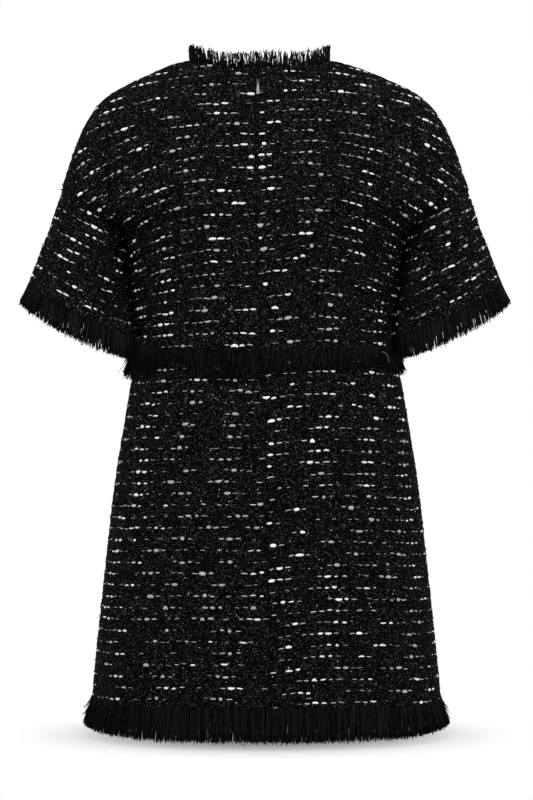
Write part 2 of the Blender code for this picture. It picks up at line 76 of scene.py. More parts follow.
skirtRows = [
    Row(-340.5, -351, -346, 159.4, 0.6, -4.0, 18, 108.8, 111.4, 2.18),
    Row(-348.0, -358, -353, 160.0, 0.7, -3.7, 18, 109.3, 111.9, 2.19),
    Row(-366.0, -376, -371, 162.0, 1.0, -3.0, 17, 110.6, 113.0, 2.20),
    Row(-390.0, -399, -394, 165.8, 1.3, -2.2, 16, 112.6, 114.6, 2.21),
    Row(-420.0, -427, -423, 171.0, 1.6, -1.2, 15, 115.4, 116.4, 2.22),
    Row(-455.0, -460, -457, 176.8, 1.6, -0.2, 14, 118.4, 118.0, 2.24),
    Row(-490.0, -494, -492, 182.4, 1.6, 0.6, 13, 120.6, 119.2, 2.26),
    Row(-525.0, -528, -526, 187.4, 1.6, 1.4, 12, 122.2, 120.2, 2.28),
    Row(-565.0, -567, -566, 192.0, 1.6, 2.2, 11, 123.6, 121.4, 2.31),
    Row(-605.0, -606, -605, 196.2, 1.6, 3.0, 10, 124.8, 122.6, 2.34),
    Row(-650.0, -651, -650, 201.0, 1.6, 4.0, 9, 126.0, 124.0, 2.37),
    Row(-695.0, -695, -695, 205.8, 1.6, 5.0, 8, 127.2, 125.4, 2.40),
    Row(-737.0, -737, -737, 210.0, 1.6, 5.6, 7, 128.4, 126.6, 2.43),
    Row(-778.0, -778, -778, 213.6, 1.7, 6.0, 6, 129.4, 127.6, 2.45),
]

cloth = {
    "wall": 2.6 * mm,
    "cell": 4 * mm,              # size of a face
    "curveSteps": 600,           # points on a row's curve before it is divided evenly
    "neckRound": 3.0,
    "lumps": 0.4 * mm,           # unevenness of the bouclé
    "tuck": 0.6 * mm,            # how far the cloth turns in along a sewn edge
    "tuckReach": 1.8 * mm,
    "armholeTuck": 0.25,         # share of that tuck along an armhole
}
armhole = {
    "centre": np.array([210.75, 0, -183]) * mm,
    "top": np.array([248.5, 0, -157]) * mm,
    "deep": 62 * mm,
    "point": 1.2,
    "rows": 7,
    "ease": (1, 0.7, 0.35, 0.1),     # how far the edge's columns follow the armhole
}
sleeve = {
    "cuff": np.array([222.9, -30, -306]) * mm,
    "cuffTop": np.array([287.2, -30, -274]) * mm,
    "cuffBack": np.array([2.0, -60, -4.5]) * mm,
    "swing": 1.9,
    "gap": 0.3 * mm,
    "round": 104,
    "long": 46,
    "slant": 0.88,               # rows lie this much closer, square to the cuff
}
armholeFrom = len(shoulderRows) - 1
armholeTo = armholeFrom + armhole["rows"]


def unit(vectors):
    return vectors / np.maximum(np.linalg.norm(vectors, axis=-1, keepdims=True), 1e-12)


def ramp(value, low, high):
    share = np.clip((value - low) / (high - low), 0, 1)
    return share * share * (3 - 2 * share)


def lengthsAlong(line):
    steps = np.linalg.norm(np.diff(line, axis=0), axis=1)
    return np.concatenate([[0], np.cumsum(steps)])


def alongLine(goals, lengths, line):
    return np.stack([np.interp(goals, lengths, line[:, k]) for k in range(3)], -1)


def placesAlong(line, goals):
    return alongLine(goals, lengthsAlong(line), line)


# Body rows as points
def angleAt(row, x):
    share = min(1.0, max(-1.0, (x - row.shift) / row.half))
    return math.copysign(math.asin(abs(share) ** (row.power / 2)), share)


def rowPoints(row, angles, end, facing):
    across = np.sign(angles) * np.abs(np.sin(angles)) ** (2 / row.power)
    toward = np.clip(np.cos(angles), 0, None) ** (2 / row.power)
    widest = math.sin(end) ** (2 / row.power)
    middle = row.back if facing == back else row.front
    deep = row.backDeep + row.flank if facing == back else row.frontDeep - row.flank
    lift = np.minimum(1, np.abs(across) / widest) ** cloth["neckRound"]
    height = middle + (row.side - middle) * lift
    return np.stack([row.shift + row.half * across, row.flank + facing * deep * toward, height], 1) * mm


def armholePoint(turn, mirror=1):
    bow = math.copysign(abs(math.sin(turn)) ** armhole["point"], turn)
    place = armhole["centre"] + (armhole["top"] - armhole["centre"]) * math.cos(turn)
    place = place - np.array([0, armhole["deep"] * bow, 0])
    return place * np.array([mirror, 1, 1])


def bodiceRows(facing):
    rows = [(row, math.pi / 2) for row in shoulderRows]
    top, bottom = shoulderRows[-1], flankRows[0]
    for step in range(1, armhole["rows"]):
        share = step / armhole["rows"]
        row = Row(*(a + (b - a) * share for a, b in zip(top, bottom)))
        edge = armholePoint(math.pi * share) / mm
        deep = row.backDeep if facing == back else row.frontDeep
        end = (1 - (abs(edge[1]) / deep) ** row.power) ** (1 / row.power)
        row = row._replace(side=edge[2], half=edge[0] / end, shift=0.0, flank=0.0)
        rows.append((row, angleAt(row, edge[0])))
    return rows + [(row, math.pi / 2) for row in flankRows]


def panelRows(rows, facing, half, columns):
    # half: -1 left of the back seam, 1 right of it, 0 a whole panel
    lines = []
    for row, end in rows:
        seam = angleAt(row, row.seam)
        start, finish = {-1: (-end, seam), 1: (seam, end), 0: (-end, end)}[half]
        curve = rowPoints(row, np.linspace(start, finish, cloth["curveSteps"]), end, facing)
        lines.append(placesAlong(curve, np.linspace(0, lengthsAlong(curve)[-1], columns + 1)))
    return np.array(lines)


def columnsFor(rows, facing, half):
    widest = max(lengthsAlong(panelRows([entry], facing, half, 40)[0])[-1] for entry in rows)
    return round(widest / cloth["cell"])


def rowPlan(rows):
    # distances from row to row and the steps between them, alike on every panel so sewn edges meet
    lines = np.array([rowPoints(row, np.linspace(-end, end, 5), end, back) for row, end in rows])
    gaps = np.linalg.norm(np.diff(lines, axis=0), axis=2).mean(axis=1)
    return gaps, np.maximum(1, np.round(gaps / cloth["cell"])).astype(int)


def smoothDown(lines, gaps, steps):
    # a smooth surface through the rows
    slopes = np.diff(lines, axis=0) / gaps[:, None, None]
    tangents = np.empty_like(lines)
    tangents[0], tangents[-1] = slopes[0], slopes[-1]
    share = (gaps[1:] / (gaps[:-1] + gaps[1:]))[:, None, None]
    tangents[1:-1] = slopes[:-1] * share + slopes[1:] * (1 - share)
    fine = []
    for r, gap in enumerate(gaps):
        for t in np.arange(steps[r]) / steps[r]:
            fine.append(lines[r] * (2 * t ** 3 - 3 * t ** 2 + 1) + lines[r + 1] * (3 * t ** 2 - 2 * t ** 3)
                        + tangents[r] * gap * (t ** 3 - 2 * t ** 2 + t)
                        + tangents[r + 1] * gap * (t ** 3 - t ** 2))
    fine.append(lines[-1])
    return np.array(fine)


plans = {"bodice": bodiceRows(back), "skirt": [(row, math.pi / 2) for row in skirtRows]}
spans = {kind: rowPlan(rows) for kind, rows in plans.items()}
bodiceSteps = spans["bodice"][1]
openingRows = (sum(bodiceSteps[:armholeFrom]), sum(bodiceSteps[:armholeTo]))


def fitArmhole(points, facing, half):
    # a panel's edge follows the armhole's own curve, and the columns beside it ease across
    parts = [k + np.arange(n) / n for k, n in enumerate(bodiceSteps[armholeFrom:armholeTo])]
    share = np.concatenate(parts + [[armhole["rows"]]]) / armhole["rows"]
    for mirror, column, way in ((-1, 0, 1), (1, -1, -1)):
        if half == -mirror:
            continue
        for row, along in zip(range(openingRows[0], openingRows[1] + 1), share):
            move = armholePoint(-facing * math.pi * along, mirror) - points[row, column]
            for k, weight in enumerate(armhole["ease"]):
                points[row, column + way * k] += move * weight


# Creases in millimetres: x, z of the middle, angle from upright in degrees, half length,
# half width, and height off the cloth (minus is a trough); each is repeated for the other side
Crease = namedtuple("Crease", "x z turn long wide high")
creases = {
    "bodice": [
        Crease(122, -190, 34, 46, 9, -2.4),
        Crease(106, -212, 42, 40, 8, 1.8),
        Crease(126, -244, 58, 30, 7, -1.6),
        Crease(172, -240, 0, 34, 14, 1.6),
        Crease(172, -140, -14, 36, 11, -1.8),
        Crease(192, -118, -20, 34, 9, 1.4),
        Crease(112, -300, 12, 42, 12, -1.8),
        Crease(64, -318, -8, 34, 11, 1.4),
        Crease(88, -120, 8, 60, 24, -1.4),
        Crease(34, -250, 4, 70, 20, -1.2),
    ],
    "skirt": [
        Crease(128, -470, 6, 120, 17, -2.4),
        Crease(88, -560, 3, 170, 22, 2.0),
        Crease(46, -640, 2, 130, 18, -2.0),
        Crease(150, -660, 5, 110, 16, 2.2),
        Crease(112, -720, 2, 70, 14, -2.0),
        Crease(26, -430, -3, 60, 16, -1.4),
    ],
    "sleeve": [
        Crease(182, -240, -6, 36, 16, 1.8),
        Crease(222, -226, -24, 32, 8, -1.8),
        Crease(240, -240, -20, 38, 9, 1.6),
        Crease(258, -216, -18, 30, 8, -1.4),
    ],
}
leftSofter = 0.35                # creases on the left are this much shallower


def creaseHeight(points, kind):
    x, z = np.abs(points[..., 0]) / mm, points[..., 2] / mm
    total = np.zeros_like(x)
    for crease in creases[kind]:
        turn = math.radians(crease.turn)
        across = (x - crease.x) * math.cos(turn) + (z - crease.z) * math.sin(turn)
        down = -(x - crease.x) * math.sin(turn) + (z - crease.z) * math.cos(turn)
        total += crease.high * np.exp(-(across / crease.wide) ** 2 - (down / crease.long) ** 2)
    return total * (1 - leftSofter * (points[..., 0] < 0)) * mm


# How the weave lies, in millimetres and degrees
weave = {
    "pitch": {"bodice": 14.0, "skirt": 13.4},                       # from row to row
    "shift": {"bodice": 3.0, "skirt": 0.0, "skirtRight": 4.0},      # up, for the first row
    "drop": {"bodice": (55, 150, 26.0), "skirt": (70, 150, 4.5)},   # from, to, steepest angle
    "dropTop": (20, 200, 0.3),       # the bodice's drop sets in below the neck, from this share
    "dropFoot": (225, 345, 0.85),    # and loses this share towards the waist
    "rise": (78, 8.5),               # right of the back seam: reach and angle
    "over": (0.75, 9, 215, 120),     # over the shoulder: share of the depth, rise, and where it fades
}


def seamColumn(points, half):
    # the column at the back seam, or down the middle of a whole panel
    return {-1: points.shape[1] - 1, 1: 0, 0: points.shape[1] // 2}[half]


def weftHeight(points, kind, half):
    # how far up the weave each point lies, measured along the cloth; a weft thread keeps one height
    x, z = points[..., 0] / mm, points[..., 2] / mm
    column = points[:, seamColumn(points, half)]
    down = lengthsAlong(column) / mm
    height = -np.interp(-z, -column[:, 2] / mm, down) + np.clip(z - column[0, 2] / mm, 0, None)
    low, high, angle = weave["drop"][kind]
    side = np.abs(x)
    spread = np.clip(side - low, 0, high - low) ** 2 / (2 * (high - low)) + np.clip(side - high, 0, None)
    amount = 1.0
    if kind == "bodice":
        top, foot, least = weave["dropTop"]
        amount = least + (1 - least) * ramp(-z, top, foot)
        top, foot, lost = weave["dropFoot"]
        amount = amount * (1 - lost * ramp(-z, top, foot))
    height = height + math.tan(math.radians(angle)) * spread * amount
    if kind == "bodice":
        share, high, low, top = weave["over"]
        depth = np.abs(points[..., 1]) / np.abs(column[:, 1])[:, None]
        height = height + high * (np.clip(1 - depth / share, 0, 1) * ramp(-z, low, top)) ** 2
    if half == 1:
        limit, angle = weave["rise"]
        reach = np.clip(x - points[:, :1, 0] / mm, 0, limit)
        height = height - math.tan(math.radians(angle)) * (reach - reach ** 2 / (2 * limit))
    shift = weave["shift"]["skirtRight" if (kind, half) == ("skirt", 1) else kind]
    return (height - shift) * mm * slub["rowPitch"] / (weave["pitch"][kind] * mm)


def normalsOf(points, closed=False):
    across = np.roll(points, -1, 1) - np.roll(points, 1, 1) if closed else np.gradient(points, axis=1)
    return unit(np.cross(across, np.gradient(points, axis=0)))


# Meshes from points and faces
def setTones(mesh, tones):
    layer = mesh.attributes.new("tone", "FLOAT", "POINT")
    layer.data.foreach_set("value", tones.astype(np.float32).ravel())


def meshObject(name, points, faces, uvs=None, tones=None, closed=False):
    mesh = bpy.data.meshes.new(name)
    mesh.from_pydata(points.reshape(-1, 3).tolist(), [], faces)
    corners = np.empty(len(mesh.loops), dtype=np.int32)
    mesh.loops.foreach_get("vertex_index", corners)
    if uvs is not None:
        places = uvs.reshape(-1, 2)[corners]
        if closed:                       # the faces that close the ring carry on past its last column
            columns = uvs.shape[1]
            column = corners.reshape(-1, 4) % columns
            wraps = (column == 0) & (column.max(axis=1) == columns - 1)[:, None]
            step = (uvs[:, -1, 0] - uvs[:, -2, 0]).mean()
            places.reshape(-1, 4, 2)[..., 0] += wraps * (uvs[:, -1, 0].mean() + step)
        layer = mesh.uv_layers.new(name="weave")
        layer.data.foreach_set("uv", places.astype(np.float32).ravel())
    if tones is not None:
        setTones(mesh, tones)
    mesh.update()
    mesh.shade_smooth()
    made = bpy.data.objects.new(name, mesh)
    bpy.context.scene.collection.objects.link(made)
    return made


def gridFaces(points, closed=False):
    rows, columns = points.shape[:2]
    faces = []
    for r in range(rows - 1):
        for c in range(columns if closed else columns - 1):
            a, b = r * columns + c, r * columns + (c + 1) % columns
            faces.append((a, a + columns, b + columns, b))
    return faces


def outwardFaces(points, outward, closed=False):
    # a grid's faces, turned over if the middle one looks inwards
    faces = gridFaces(points, closed)
    a, b, c = (points.reshape(-1, 3)[k] for k in faces[len(faces) // 2][:3])
    if np.cross(b - a, c - b) @ outward(a) < 0:
        faces = [face[::-1] for face in faces]
    return faces


def repeatFaces(pattern, count, each):
    return [tuple(i * each + v for v in face) for i in range(count) for face in pattern]


def addWall(piece, thick):
    # the modelled face stays in place and the wall grows inwards
    wall = piece.modifiers.new("wall", "SOLIDIFY")
    wall.thickness = thick
    wall.offset = -1


def selectOnly(piece):
    bpy.ops.object.select_all(action="DESELECT")
    piece.select_set(True)
    bpy.context.view_layer.objects.active = piece


def recalculate(piece):
    selectOnly(piece)
    bpy.ops.object.mode_set(mode="EDIT")
    bpy.ops.mesh.select_all(action="SELECT")
    bpy.ops.mesh.normals_make_consistent(inside=False)
    bpy.ops.object.mode_set(mode="OBJECT")
    piece.select_set(False)


def finishPiece(piece, material, body=dressBody):
    piece.data.materials.clear()
    piece.data.materials.append(material)
    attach(piece, body)


def walkedAcross(points):
    # distance from the first column, row by row
    steps = np.linalg.norm(np.diff(points, axis=1), axis=2)
    return np.concatenate([np.zeros((len(points), 1)), np.cumsum(steps, axis=1)], 1)


def clothShell(name, points, heights, kind, outward, seed, start, closed=False, tucked=None):
    # the outer face carries folds and lumps, and rolls inwards where its side edges are sewn
    chance = np.random.default_rng(seed)
    normals = normalsOf(points, closed)
    middle = (points.shape[0] // 2, points.shape[1] // 4)
    if normals[middle] @ outward(points[middle]) < 0:
        normals = -normals
    walked = walkedAcross(points)
    raised = creaseHeight(points, kind) + chance.normal(0, cloth["lumps"], points.shape[:2])
    if tucked is not None:
        nearest = np.minimum(walked, walked[:, -1:] - walked)
        raised = raised - cloth["tuck"] * np.exp(-(nearest / cloth["tuckReach"]) ** 2) * tucked[:, None]
    skin = points + normals * raised[..., None]
    uvs = np.stack([walked - walked[:, start:start + 1], heights], 2)
    made = meshObject(name, skin, outwardFaces(skin, outward, closed), uvs=uvs, closed=closed)
    addWall(made, cloth["wall"])
    return made, skin, normals


# Slubs: thick and thin places of the light yarn, one row to each weft line
slub = {
    "rowPitch": 14 * mm,
    "dashPitch": 9.7 * mm,
    "spacing": (0.9, 1.1),       # unevenness of that pitch
    "begin": 0.6,                # how late a row may begin, as a share of the pitch
    "margin": 3.2 * mm,          # kept clear of a panel's edges
    "sides": 6,
    "rings": [(-0.66, 0.78), (0.05, 1.0), (0.7, 0.72)],     # place and size along a slub
    "swing": 0.5 * mm,           # unevenness of a row
    "tilt": 0.07,
    "bow": 0.4,
    "uneven": 0.2,
    "sizes": (0.6, 1.4),         # least and greatest size
    "stand": 0.2,                # share of its height that a slub stands off the cloth
    "missing": 0.1,
    "tones": (0.8, 1.0),
    "cells": 900,                # the yarn's sequence
    "jumps": 500,                # where in it a row may start
    "holds": (2, 6),             # rows that keep step before the yarn jumps
    "slips": 0.5,                # share of rows that slip a cell
}
# half length, half height and rise in millimetres, and tone from 0 black to 1 white
Dash = namedtuple("Dash", "long high thick tone")
dashes = {
    "W": Dash(4.1, 1.75, 1.3, 1.0),      # full white slub
    "w": Dash(3.5, 1.25, 1.0, 0.9),      # lesser white slub
    "t": Dash(3.4, 0.62, 0.6, 0.56),     # thin white stretch
    "G": Dash(3.6, 1.85, 1.3, 0.44),     # full grey slub
    "g": Dash(3.3, 1.2, 0.9, 0.38),      # lesser grey slub
    "f": Dash(3.3, 0.6, 0.6, 0.26),      # faint stretch
    ".": None,
}
yarnWords = ["tWwt", "fGf", "tww", "fgGt", "tWt", "tGf", "wwf", "tGg", "ttww", "fGt"]
darkWords = ["..f", ".f.", "...", "f..", ".ff", "f.", ".ff.", "..f.", "....", ".f"]


def yarnSequence(chance, count):
    cells = ""
    while len(cells) < count:
        cells += yarnWords[chance.integers(len(yarnWords))] + darkWords[chance.integers(len(darkWords))]
    return cells


def weftLines(skin, normals, heights, goal, closed):
    # the curves on a panel where the weave reaches one height, with the normals along them
    runs, line, sides = [], [], []
    for c in list(range(skin.shape[1])) + ([0] if closed else []):
        column = heights[:, c]
        if column[-1] < goal < column[0]:
            r = np.interp(-goal, -column, np.arange(len(column)))
            low = min(int(r), len(column) - 2)
            line.append(skin[low, c] + (skin[low + 1, c] - skin[low, c]) * (r - low))
            sides.append(normals[low, c])
        elif line:
            runs.append((np.array(line), np.array(sides)))
            line, sides = [], []
    if line:
        runs.append((np.array(line), np.array(sides)))
    return [run for run in runs if len(run[0]) > 4]


def lensTemplate(sides):
    # a closed lens along X: two tips and three rings, of unit half length, height and rise
    points = [(-1, 0, 0)]
    for x, reach in slub["rings"]:
        for s in range(sides):
            turn = 2 * math.pi * s / sides
            points.append((x, reach * math.cos(turn), reach * math.sin(turn)))
    points.append((1, 0, 0))
    last = len(points) - 1
    faces = []
    for s in range(sides):
        t = (s + 1) % sides
        faces.append((0, 1 + t, 1 + s))
        for ring in range(2):
            a, b = 1 + ring * sides, 1 + (ring + 1) * sides
            faces.append((a + s, a + t, b + t, b + s))
        a = 1 + 2 * sides
        faces.append((a + s, a + t, last))
    return np.array(points), faces


lens, lensFaces = lensTemplate(slub["sides"])


def placeDash(chance, dash, line, sides, lengths, here):
    # the lens turned and sized for one slub that lies on the weft line
    spot = alongLine(here, lengths, line)
    out = sides[min(int(np.searchsorted(lengths, here)), len(sides) - 1)]
    run = alongLine(here + 2 * mm, lengths, line) - spot
    run = unit(run - out * (run @ out))
    up = np.cross(out, run)
    tilt = chance.normal(0, slub["tilt"])
    run, up = run + up * tilt, up - run * tilt
    size = chance.normal(1, slub["uneven"], 3).clip(*slub["sizes"])
    spot = spot + up * chance.normal(0, slub["swing"]) + out * dash.thick * slub["stand"] * mm
    bow = chance.normal(0, slub["bow"]) * lens[:, :1] ** 2
    return spot + (lens[:, :1] * run * dash.long * size[0] + (lens[:, 1:2] + bow) * up * dash.high * size[1]
                   + lens[:, 2:] * out * dash.thick * size[2]) * mm


def slubPiece(name, panels, seed):
    chance = np.random.default_rng(seed)
    points, tones = [], []
    for skin, normals, heights, closed, ceiling in panels:
        yarn = yarnSequence(chance, slub["cells"])
        places, holds = [0, 0], [0, 0]       # two shuttles of the yarn take turns, row by row
        first = math.floor(heights.max() / slub["rowPitch"])
        last = math.ceil(heights.min() / slub["rowPitch"])
        for k in range(first, last - 1, -1):
            turn = k % 2
            if holds[turn] == 0:             # a few of its rows keep step, then the yarn jumps
                places[turn] = int(chance.integers(slub["jumps"]))
                holds[turn] = int(chance.integers(*slub["holds"]))
            holds[turn] -= 1
            places[turn] += int(chance.integers(-1, 2)) if chance.random() < slub["slips"] else 0
            cell = places[turn]
            for line, sides in weftLines(skin, normals, heights, k * slub["rowPitch"], closed):
                lengths = lengthsAlong(line)
                here = slub["margin"] + chance.uniform(0, slub["begin"]) * slub["dashPitch"]
                while here < lengths[-1] - slub["margin"]:
                    dash = dashes[yarn[cell % len(yarn)]]
                    cell += 1
                    low = np.interp(here, lengths, line[:, 2]) < ceiling
                    if dash is not None and low and chance.random() > slub["missing"]:
                        points.append(placeDash(chance, dash, line, sides, lengths, here))
                        tones.append(np.full(len(lens), dash.tone * chance.uniform(*slub["tones"])))
                    here += slub["dashPitch"] * chance.uniform(*slub["spacing"])
    faces = repeatFaces(lensFaces, len(points), len(lens))
    return meshObject(name, np.concatenate(points), faces, tones=np.concatenate(tones))


# Yarn ends of the fringes
strand = {
    "sides": 3, "rings": 4,
    "taper": 0.75,               # thickness at the tip
    "twist": 0.4,                # turn from ring to ring
    "trim": (-0.25, 0.2),        # limits of the ragged cut
    "shorter": (0.4, 0.7),       # length of the ends underneath
    "bunching": (0.4, 1.6),      # unevenness of the bunches
    "gathering": (0.6, 1.1),
    "strayLean": 0.45,
    "leanEase": 1.2, "pushEase": 1.4,    # powers of the bend down an end
    "rooted": (0.2, 1.0),        # how far up inside the cloth an end begins
    "toneEase": 1.6,             # most ends are dark
}


def edgeFrames(line):
    # level directions out of the dress along an edge
    along = np.gradient(line, axis=0)
    out = unit(np.stack([along[:, 1], -along[:, 0], np.zeros(len(line))], 1))
    flip = np.sign(np.sum(out[:, :2] * line[:, :2], axis=1))
    return out * flip[:, None]


def bodyLoop(row, inset):
    # once round the dress, from the back seam to the back seam
    quarter, steps = math.pi / 2, cloth["curveSteps"]
    seam = angleAt(row, row.seam)
    line = np.concatenate([rowPoints(row, np.linspace(seam, quarter, steps // 2), quarter, back)[:-1],
                           rowPoints(row, np.linspace(quarter, -quarter, steps), quarter, front)[:-1],
                           rowPoints(row, np.linspace(-quarter, seam, steps // 2), quarter, back)])
    return line - edgeFrames(line) * inset


def fringePiece(name, line, outs, hangs, spec, seed):
    # many separate yarn ends, each a three-sided tube; neighbours gather into small bunches
    chance = np.random.default_rng(seed)
    lengths = lengthsAlong(line)
    count, whole = spec["count"], lengths[-1]
    at = whole * (np.arange(count) + chance.uniform(0, 1, count)) / count
    root, out, hang = (alongLine(at, lengths, table) for table in (line, outs, hangs))
    along = np.cross(out, hang)
    along = along * np.sign(np.sum(along * np.gradient(root, axis=0), axis=1))[:, None]

    widths = chance.uniform(*strand["bunching"], int(2 * whole / spec["bunch"]))
    bunches = np.cumsum(spec["bunch"] * widths)
    nearest = bunches[np.abs(bunches[None] - at[:, None]).argmin(axis=1)]
    long = spec["long"](root) * (1 + chance.normal(0, spec["ragged"], count).clip(*strand["trim"]))
    long = long * np.where(chance.random(count) < spec["under"], chance.uniform(*strand["shorter"], count), 1)
    ends = np.minimum(1, np.minimum(at, whole - at) / spec["ends"]) if "ends" in spec else 1
    gather = (nearest - at) * spec["gather"] * chance.uniform(*strand["gathering"], count) * ends
    lean = long * chance.normal(0, spec["lean"], count)
    stray = chance.random(count) < spec["strays"]
    lean = np.where(stray, long * chance.normal(0, strand["strayLean"], count), lean)
    curl = long * chance.normal(0, spec["curl"], count)
    push = spec["flare"](root) + long * chance.normal(0, spec["lift"], count)
    deep = chance.uniform(-0.5, 0.5, count) * spec["thick"]
    start = chance.uniform(*strand["rooted"], count) * spec["start"]
    root = root + out * deep[:, None] - hang * start[:, None]
    long = long + start
    sides, points = strand["sides"], []
    for ring in range(strand["rings"]):
        t = ring / (strand["rings"] - 1)
        radius = spec["radius"] * (1 - (1 - strand["taper"]) * t ** 3)
        aside = gather * t ** spec["late"] + lean * t ** strand["leanEase"] + curl * (t ** 2 - 0.5 * t)
        middle = (root + hang * (long * t)[:, None] + out * (push * t ** strand["pushEase"])[:, None]
                  + along * aside[:, None])
        for side in range(sides):
            turn = 2 * math.pi * side / sides + ring * strand["twist"]
            points.append(middle + (out * math.cos(turn) + along * math.sin(turn)) * radius)
    points = np.stack(points, 1)
    each = points.shape[1]
    pattern = [(ring * sides + s, ring * sides + (s + 1) % sides,
                (ring + 1) * sides + (s + 1) % sides, (ring + 1) * sides + s)
               for ring in range(strand["rings"] - 1) for s in range(sides)]
    pattern.append(tuple(range(sides))[::-1])
    pattern.append(tuple(range(each - sides, each)))
    tones = np.repeat(chance.uniform(0, 1, count) ** strand["toneEase"], each)
    made = meshObject(name, points, repeatFaces(pattern, count, each), tones=tones)
    recalculate(made)
    return made


# Nodes: a value is a setting of the node, or a number, a colour or another node's output for a socket
def feed(tree, socket, value):
    if isinstance(value, bpy.types.NodeSocket):
        tree.links.new(value, socket)
    else:
        socket.default_value = value


def fillIn(tree, node, **values):
    for name, value in values.items():
        if hasattr(node, name):
            setattr(node, name, value)
        else:
            feed(tree, node.inputs[name.replace("_", " ")], value)
    return node


def addNode(tree, kind, **values):
    return fillIn(tree, tree.nodes.new(kind), **values)


def maths(tree, operation, *values, kind="ShaderNodeMath"):
    made = addNode(tree, kind, operation=operation)
    for socket, value in zip(made.inputs, values):
        feed(tree, socket, value)
    return made.outputs[0]


def vectorMaths(tree, operation, *values):
    return maths(tree, operation, *values, kind="ShaderNodeVectorMath")


def remap(tree, value, low, high, toLow=0.0, toHigh=1.0):
    made = addNode(tree, "ShaderNodeMapRange", interpolation_type="SMOOTHSTEP", Value=value,
                   From_Min=low, From_Max=high, To_Min=toLow, To_Max=toHigh)
    return made.outputs["Result"]


def mixColour(tree, share, first, second, blend="MIX"):
    made = addNode(tree, "ShaderNodeMix", data_type="RGBA", blend_type=blend)
    for entry, value in ((0, share), (6, first), (7, second)):
        feed(tree, made.inputs[entry], value)
    return made.outputs[2]


def noiseOf(tree, vector, **values):
    return addNode(tree, "ShaderNodeTexNoise", Vector=vector, **values).outputs[0]


def objectPlace(tree):
    return addNode(tree, "ShaderNodeTexCoord").outputs["Object"]


def newGroup(name, inputs, outputs):
    group = bpy.data.node_groups.new(name, "ShaderNodeTree")
    for label, kind, value in inputs:
        made = group.interface.new_socket(label, in_out="INPUT", socket_type=kind)
        if value is not None:
            made.default_value = value
    for label, kind in outputs:
        group.interface.new_socket(label, in_out="OUTPUT", socket_type=kind)
    return group, addNode(group, "NodeGroupInput"), addNode(group, "NodeGroupOutput")


tweed = {
    "fineRows": 4.0,                 # bouclé wefts from one slub row to the next
    "wander": 1.6,                   # how far those wefts stray, in millimetres
    "curls": (0.62, 0.80, 1),        # curls of yarn per millimetre across and up
    "black": (0.0009, 0.0009, 0.0011, 1),
    "coal": (0.086, 0.087, 0.096, 1),
    "cool": (0.88, 0.95, 1.14, 1),
    "warm": (1.10, 0.99, 1.0, 1),
}
# specks: painted glints of fine lurex threads, as spots of lighter colour: cells per millimetre across and
# up, share of cells, size, colour, shift
Speck = namedtuple("Speck", "across up share size colour shift")
paintedGlints = [
    Speck(0.42, 0.55, 0.19, 0.44, (0.095, 0.097, 0.105, 1), 3.7),
    Speck(0.36, 0.48, 0.055, 0.40, (0.50, 0.50, 0.51, 1), 9.1),
]


def voronoiCells(group, vector):
    # distance to each cell's middle, and three chance numbers of the cell
    cells = addNode(group, "ShaderNodeTexVoronoi", feature="F1", Scale=1.0, Randomness=1.0, Vector=vector)
    chances = addNode(group, "ShaderNodeSeparateColor", Color=cells.outputs["Color"])
    return cells.outputs["Distance"], chances.outputs


